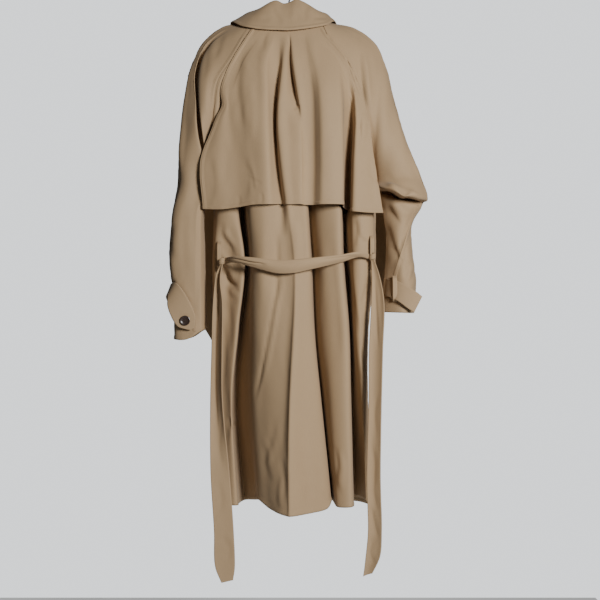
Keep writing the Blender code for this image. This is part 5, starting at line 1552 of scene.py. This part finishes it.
def horn(name, colour, roughness):
    """Polished horn of one colour, with paler clouds in it."""
    material, shader = material_and_shader(name)
    nodes, links = material.node_tree.nodes, material.node_tree.links
    where = nodes.new("ShaderNodeTexCoord")
    cloud = nodes.new("ShaderNodeTexNoise")
    set_inputs(cloud, {"Scale": 260, "Detail": 2})
    mix = nodes.new("ShaderNodeMix")
    mix.data_type = "RGBA"
    mix.inputs["A"].default_value = (*colour, 1)
    mix.inputs["B"].default_value = (*(2.2 * c for c in colour), 1)
    links.new(where.outputs["Object"], cloud.inputs["Vector"])
    links.new(cloud.outputs["Fac"], mix.inputs["Factor"])
    links.new(mix.outputs["Result"], shader.inputs["Base Color"])
    set_inputs(shader, {"Roughness": roughness, "Coat Weight": 0.3, "Coat Roughness": 0.15})
    return material


HORN = horn("brown horn", (0.022, 0.013, 0.010), 0.3)
BUTTON_THREAD = gabardine("brown thread", (0.05, 0.035, 0.025))


def turned_disc(name, scale):
    """The button before its holes are drilled: its profile, spun about the upright axis."""
    turned = bmesh.new()
    verts = [turned.verts.new((r * scale * MM, 0, h * MM)) for r, h in BUTTON_PROFILE]
    edges = [turned.edges.new(pair) for pair in zip(verts, verts[1:])]
    bmesh.ops.spin(turned, geom=verts + edges, axis=(0, 0, 1), cent=(0, 0, 0), steps=BUTTON_STEPS,
                   angle=2 * math.pi, use_merge=True, use_duplicate=False)
    bmesh.ops.remove_doubles(turned, verts=turned.verts, dist=0.01 * MM)
    bmesh.ops.recalc_face_normals(turned, faces=turned.faces)
    return placed("blank", finished(name, turned, HORN))


def drills():
    """The four pins that cut the holes."""
    holes = bmesh.new()
    for i in (-HOLE_PLACE, HOLE_PLACE):
        for j in (-HOLE_PLACE, HOLE_PLACE):
            bmesh.ops.create_cone(holes, cap_ends=True, segments=HOLE_FACETS,
                                  radius1=HOLE_RADIUS * MM, radius2=HOLE_RADIUS * MM, depth=6 * MM,
                                  matrix=Matrix.Translation((i * MM, j * MM, 0)))
    return placed("cutter", finished("holes", holes, HORN))


def button(name, middle, facing, radius=BUTTON_RADIUS):
    """A button with its middle at a place, facing a way, and the thread that holds it."""
    turn = Vector(facing).to_track_quat("Z", "Y").to_matrix().to_4x4()
    seat = Matrix.Translation(Vector(middle) * MM) @ turn
    disc, cutter = turned_disc(name, radius / BUTTON_RADIUS), drills()
    cut = disc.modifiers.new("holes", "BOOLEAN")
    cut.operation = "DIFFERENCE"
    cut.solver = "EXACT"
    cut.object = cutter
    drilled = disc.evaluated_get(bpy.context.evaluated_depsgraph_get())
    done = bpy.data.meshes.new_from_object(drilled)
    for each in (disc, cutter):
        bpy.data.objects.remove(each)
    done.transform(seat)
    done.name = name
    done.materials.clear()
    done.materials.append(HORN)
    piece = placed(f"{name}_horn", done)
    done.shade_smooth()
    sharp = piece.modifiers.new("edges", "EDGE_SPLIT")
    sharp.split_angle = math.radians(BUTTON_SHARP)
    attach(piece, "root")
    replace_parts(piece, name)
    # Two crossed strands of thread through the holes
    strands = bmesh.new()
    height = Matrix.Translation((0, 0, BUTTON_THREAD_HEIGHT * MM))
    thin = BUTTON_THREAD_RADIUS * MM
    shape = Matrix.Diagonal((HOLE_PLACE * math.sqrt(2) * MM, thin, thin, 1))
    for quarter in (45, 135):
        lie = height @ Matrix.Rotation(math.radians(quarter), 4, "Z")
        bmesh.ops.create_icosphere(strands, subdivisions=2, radius=1.0, matrix=seat @ lie @ shape)
    mesh = finished(f"{name}_thread", strands, BUTTON_THREAD)
    mesh.uv_layers.new(name="cloth")
    thread = placed(f"{name}_thread", mesh)
    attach(thread, "root")


for side, (middle, facing) in CUFF_BUTTONS.items():
    button(f"cuff_button_{side}", middle, facing)
for side, (first, last, rise, middle) in EPAULETTES.items():
    row, reach = first + EPAULETTE_BUTTON_ROWS, middle * MM
    seat = off_shoulder(side, row, reach, EPAULETTE_SEAT + EPAULETTE_ARCH + BUTTON_SEAT * MM)
    facing = seat - off_shoulder(side, row, reach, 0)
    button(f"epaulette_button_{side}", seat / MM, facing, EPAULETTE_BUTTON_RADIUS)
front_tree = sheet_tree([grids["front_left"]])
for row, z in enumerate(FRONT_BUTTONS["rows"], start=1):
    for column, x in enumerate(FRONT_BUTTONS["columns"], start=1):
        y = met_at(front_tree, x * MM, z * MM, 1).y / MM
        button(f"front_button_{row}_{column}", (x, y + FRONT_BUTTON_SEAT, z), TO_FRONT)


# ---------------------------------------------------------------- hanger
# A slim moulded hanger in matt black plastic, with an oval bar for its shoulders, and a bent
# steel hook in its middle.

HOOK_WIRE = 2.0
HOOK_RADIUS = 16.0             # inside of the crown
HANGER_HALF_HEIGHT = 9 * MM
HANGER_HALF_DEPTH = 7 * MM
HANGER_TIP = 190 * MM
HANGER_NECK = -107 * MM        # top of the shoulders inside the neck
HANGER_CLEARANCE = 2.2 * MM    # from the middle of the cloth over the bar to the bar
HANGER_PROBES = (-0.6, 0, 0.6) # where the cloth over the bar is felt, in half depths
HANGER_ROUND_END = 12 * MM     # length over which each end rounds off
HANGER_BLUNT = 0.05
HANGER_STATIONS = 72
HANGER_FACETS = 24
STEM = [(0, -108), (0, -90), (0, -75), (0, -60), (0, -52), (3.5, -42), (11, -33.5)]
CROWN = np.radians(np.linspace(-40, 195, 29))


def plain(name, colour, roughness, metallic=0.0):
    material, shader = material_and_shader(name)
    set_inputs(shader, {"Base Color": (*colour, 1), "Roughness": roughness, "Metallic": metallic})
    return material


tops = sheet_tree([grid for name, grid in grids.items() if name.startswith("sleeve")])
bar = bmesh.new()
loops = []
for x in np.linspace(-HANGER_TIP, HANGER_TIP, HANGER_STATIONS + 1):
    heights = [HANGER_NECK]
    for arm in (x, -x):
        for probe in HANGER_PROBES:
            above = Vector((arm, probe * HANGER_HALF_DEPTH, 0.1))
            hit = tops.ray_cast(above, Vector((0, 0, -1)))[0]
            if hit is not None:
                heights.append(hit.z - HANGER_CLEARANCE)
    top = min(heights)
    end = max(0, 1 - (HANGER_TIP - abs(x)) / HANGER_ROUND_END)
    shrink = math.sqrt(max(1 - end ** 2, HANGER_BLUNT))
    half, deep = HANGER_HALF_HEIGHT * shrink, HANGER_HALF_DEPTH * shrink
    ring = bmesh.ops.create_circle(bar, segments=HANGER_FACETS, radius=1.0)["verts"]
    for vert in ring:
        vert.co = Vector((x, vert.co.x * deep, top - half + vert.co.y * half))
    loops.append([edge for edge in bar.edges if edge.verts[0] in ring and edge.verts[1] in ring])
for one, two in zip(loops, loops[1:]):
    bmesh.ops.bridge_loops(bar, edges=one + two)
for end in (loops[0], loops[-1]):
    bmesh.ops.contextual_create(bar, geom=end)
bmesh.ops.recalc_face_normals(bar, faces=bar.faces)
black = plain("black hanger", (0.02, 0.02, 0.02), 0.5)
piece = placed("hanger_bar", finished("hanger_shoulders", bar, black))
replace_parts(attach(piece, "root"), "hanger_shoulders")

wire = bpy.data.curves.new("hanger_hook", "CURVE")
wire.dimensions = "3D"
wire.bevel_depth = HOOK_WIRE * MM
wire.bevel_resolution = 5
wire.use_fill_caps = True
bend = HOOK_RADIUS + HOOK_WIRE
points = STEM + [(math.cos(turn) * bend, math.sin(turn) * bend - HOOK_RADIUS) for turn in CROWN]
spline = wire.splines.new("POLY")
spline.points.add(len(points) - 1)
for point, (x, z) in zip(spline.points, points):
    point.co = (x * MM, 0, z * MM, 1)
wire.materials.append(plain("dark steel", (0.10, 0.10, 0.11), 0.35, 1.0))
piece = placed("hanger_wire", wire)
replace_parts(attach(piece, "root"), "hanger_hook")


# ---------------------------------------------------------------- studio
# A pale floor below the coat, one soft main light from the right and one weak fill, and the
# camera square on to the coat's back.

# All in metres, apart from the lens
FLOOR_HEIGHT = -1.72
CAMERA_PLACE = (0.0253, -2.3, -0.738)
LENS = 60
# Place, size, power in watts and aim of each light
LIGHTS = {
    "key": ((1.05, -2.0, -0.2), 0.55, 66, (0, 0, -0.7)),
    "front": ((-0.7, 2.7, 0.0), 1.0, 45, (0, 0, -0.7)),
}

ground = bmesh.new()
bmesh.ops.create_grid(ground, x_segments=1, y_segments=1, size=1.0,
                      matrix=Matrix.Translation((0, 0, FLOOR_HEIGHT)))
floor = placed("floor", finished("floor", ground, plain("pale floor", (0.8, 0.8, 0.8), 0.9)))

for name, (place, size, power, aim) in LIGHTS.items():
    lamp = bpy.data.lights.new(name, "AREA")
    lamp.energy = power
    lamp.size = size
    lit = placed(name, lamp)
    lit.location = place
    lit.visible_glossy = name == "key"
    lit.visible_camera = False
    lit.rotation_euler = (Vector(aim) - Vector(place)).to_track_quat("-Z", "Y").to_euler()

world = bpy.data.worlds.new("studio")
world.use_nodes = True
bpy.context.scene.world = world
nodes, links = world.node_tree.nodes, world.node_tree.links
room = nodes["Background"]
set_inputs(room, {"Color": (0.9, 0.92, 0.95, 1), "Strength": 0.06})
seen = nodes.new("ShaderNodeBackground")
set_inputs(seen, {"Color": (1.32, 1.36, 1.40, 1)})
path = nodes.new("ShaderNodeLightPath")
either = nodes.new("ShaderNodeMixShader")
links.new(path.outputs["Is Camera Ray"], either.inputs["Fac"])
links.new(room.outputs["Background"], either.inputs[1])
links.new(seen.outputs["Background"], either.inputs[2])
links.new(either.outputs["Shader"], nodes["World Output"].inputs["Surface"])

camera_data = bpy.data.cameras.new("camera")
camera_data.lens = LENS
camera_data.sensor_width = 36
camera = placed("camera", camera_data)
camera.location = CAMERA_PLACE
camera.rotation_euler = (math.radians(90), 0, 0)
bpy.context.scene.camera = camera
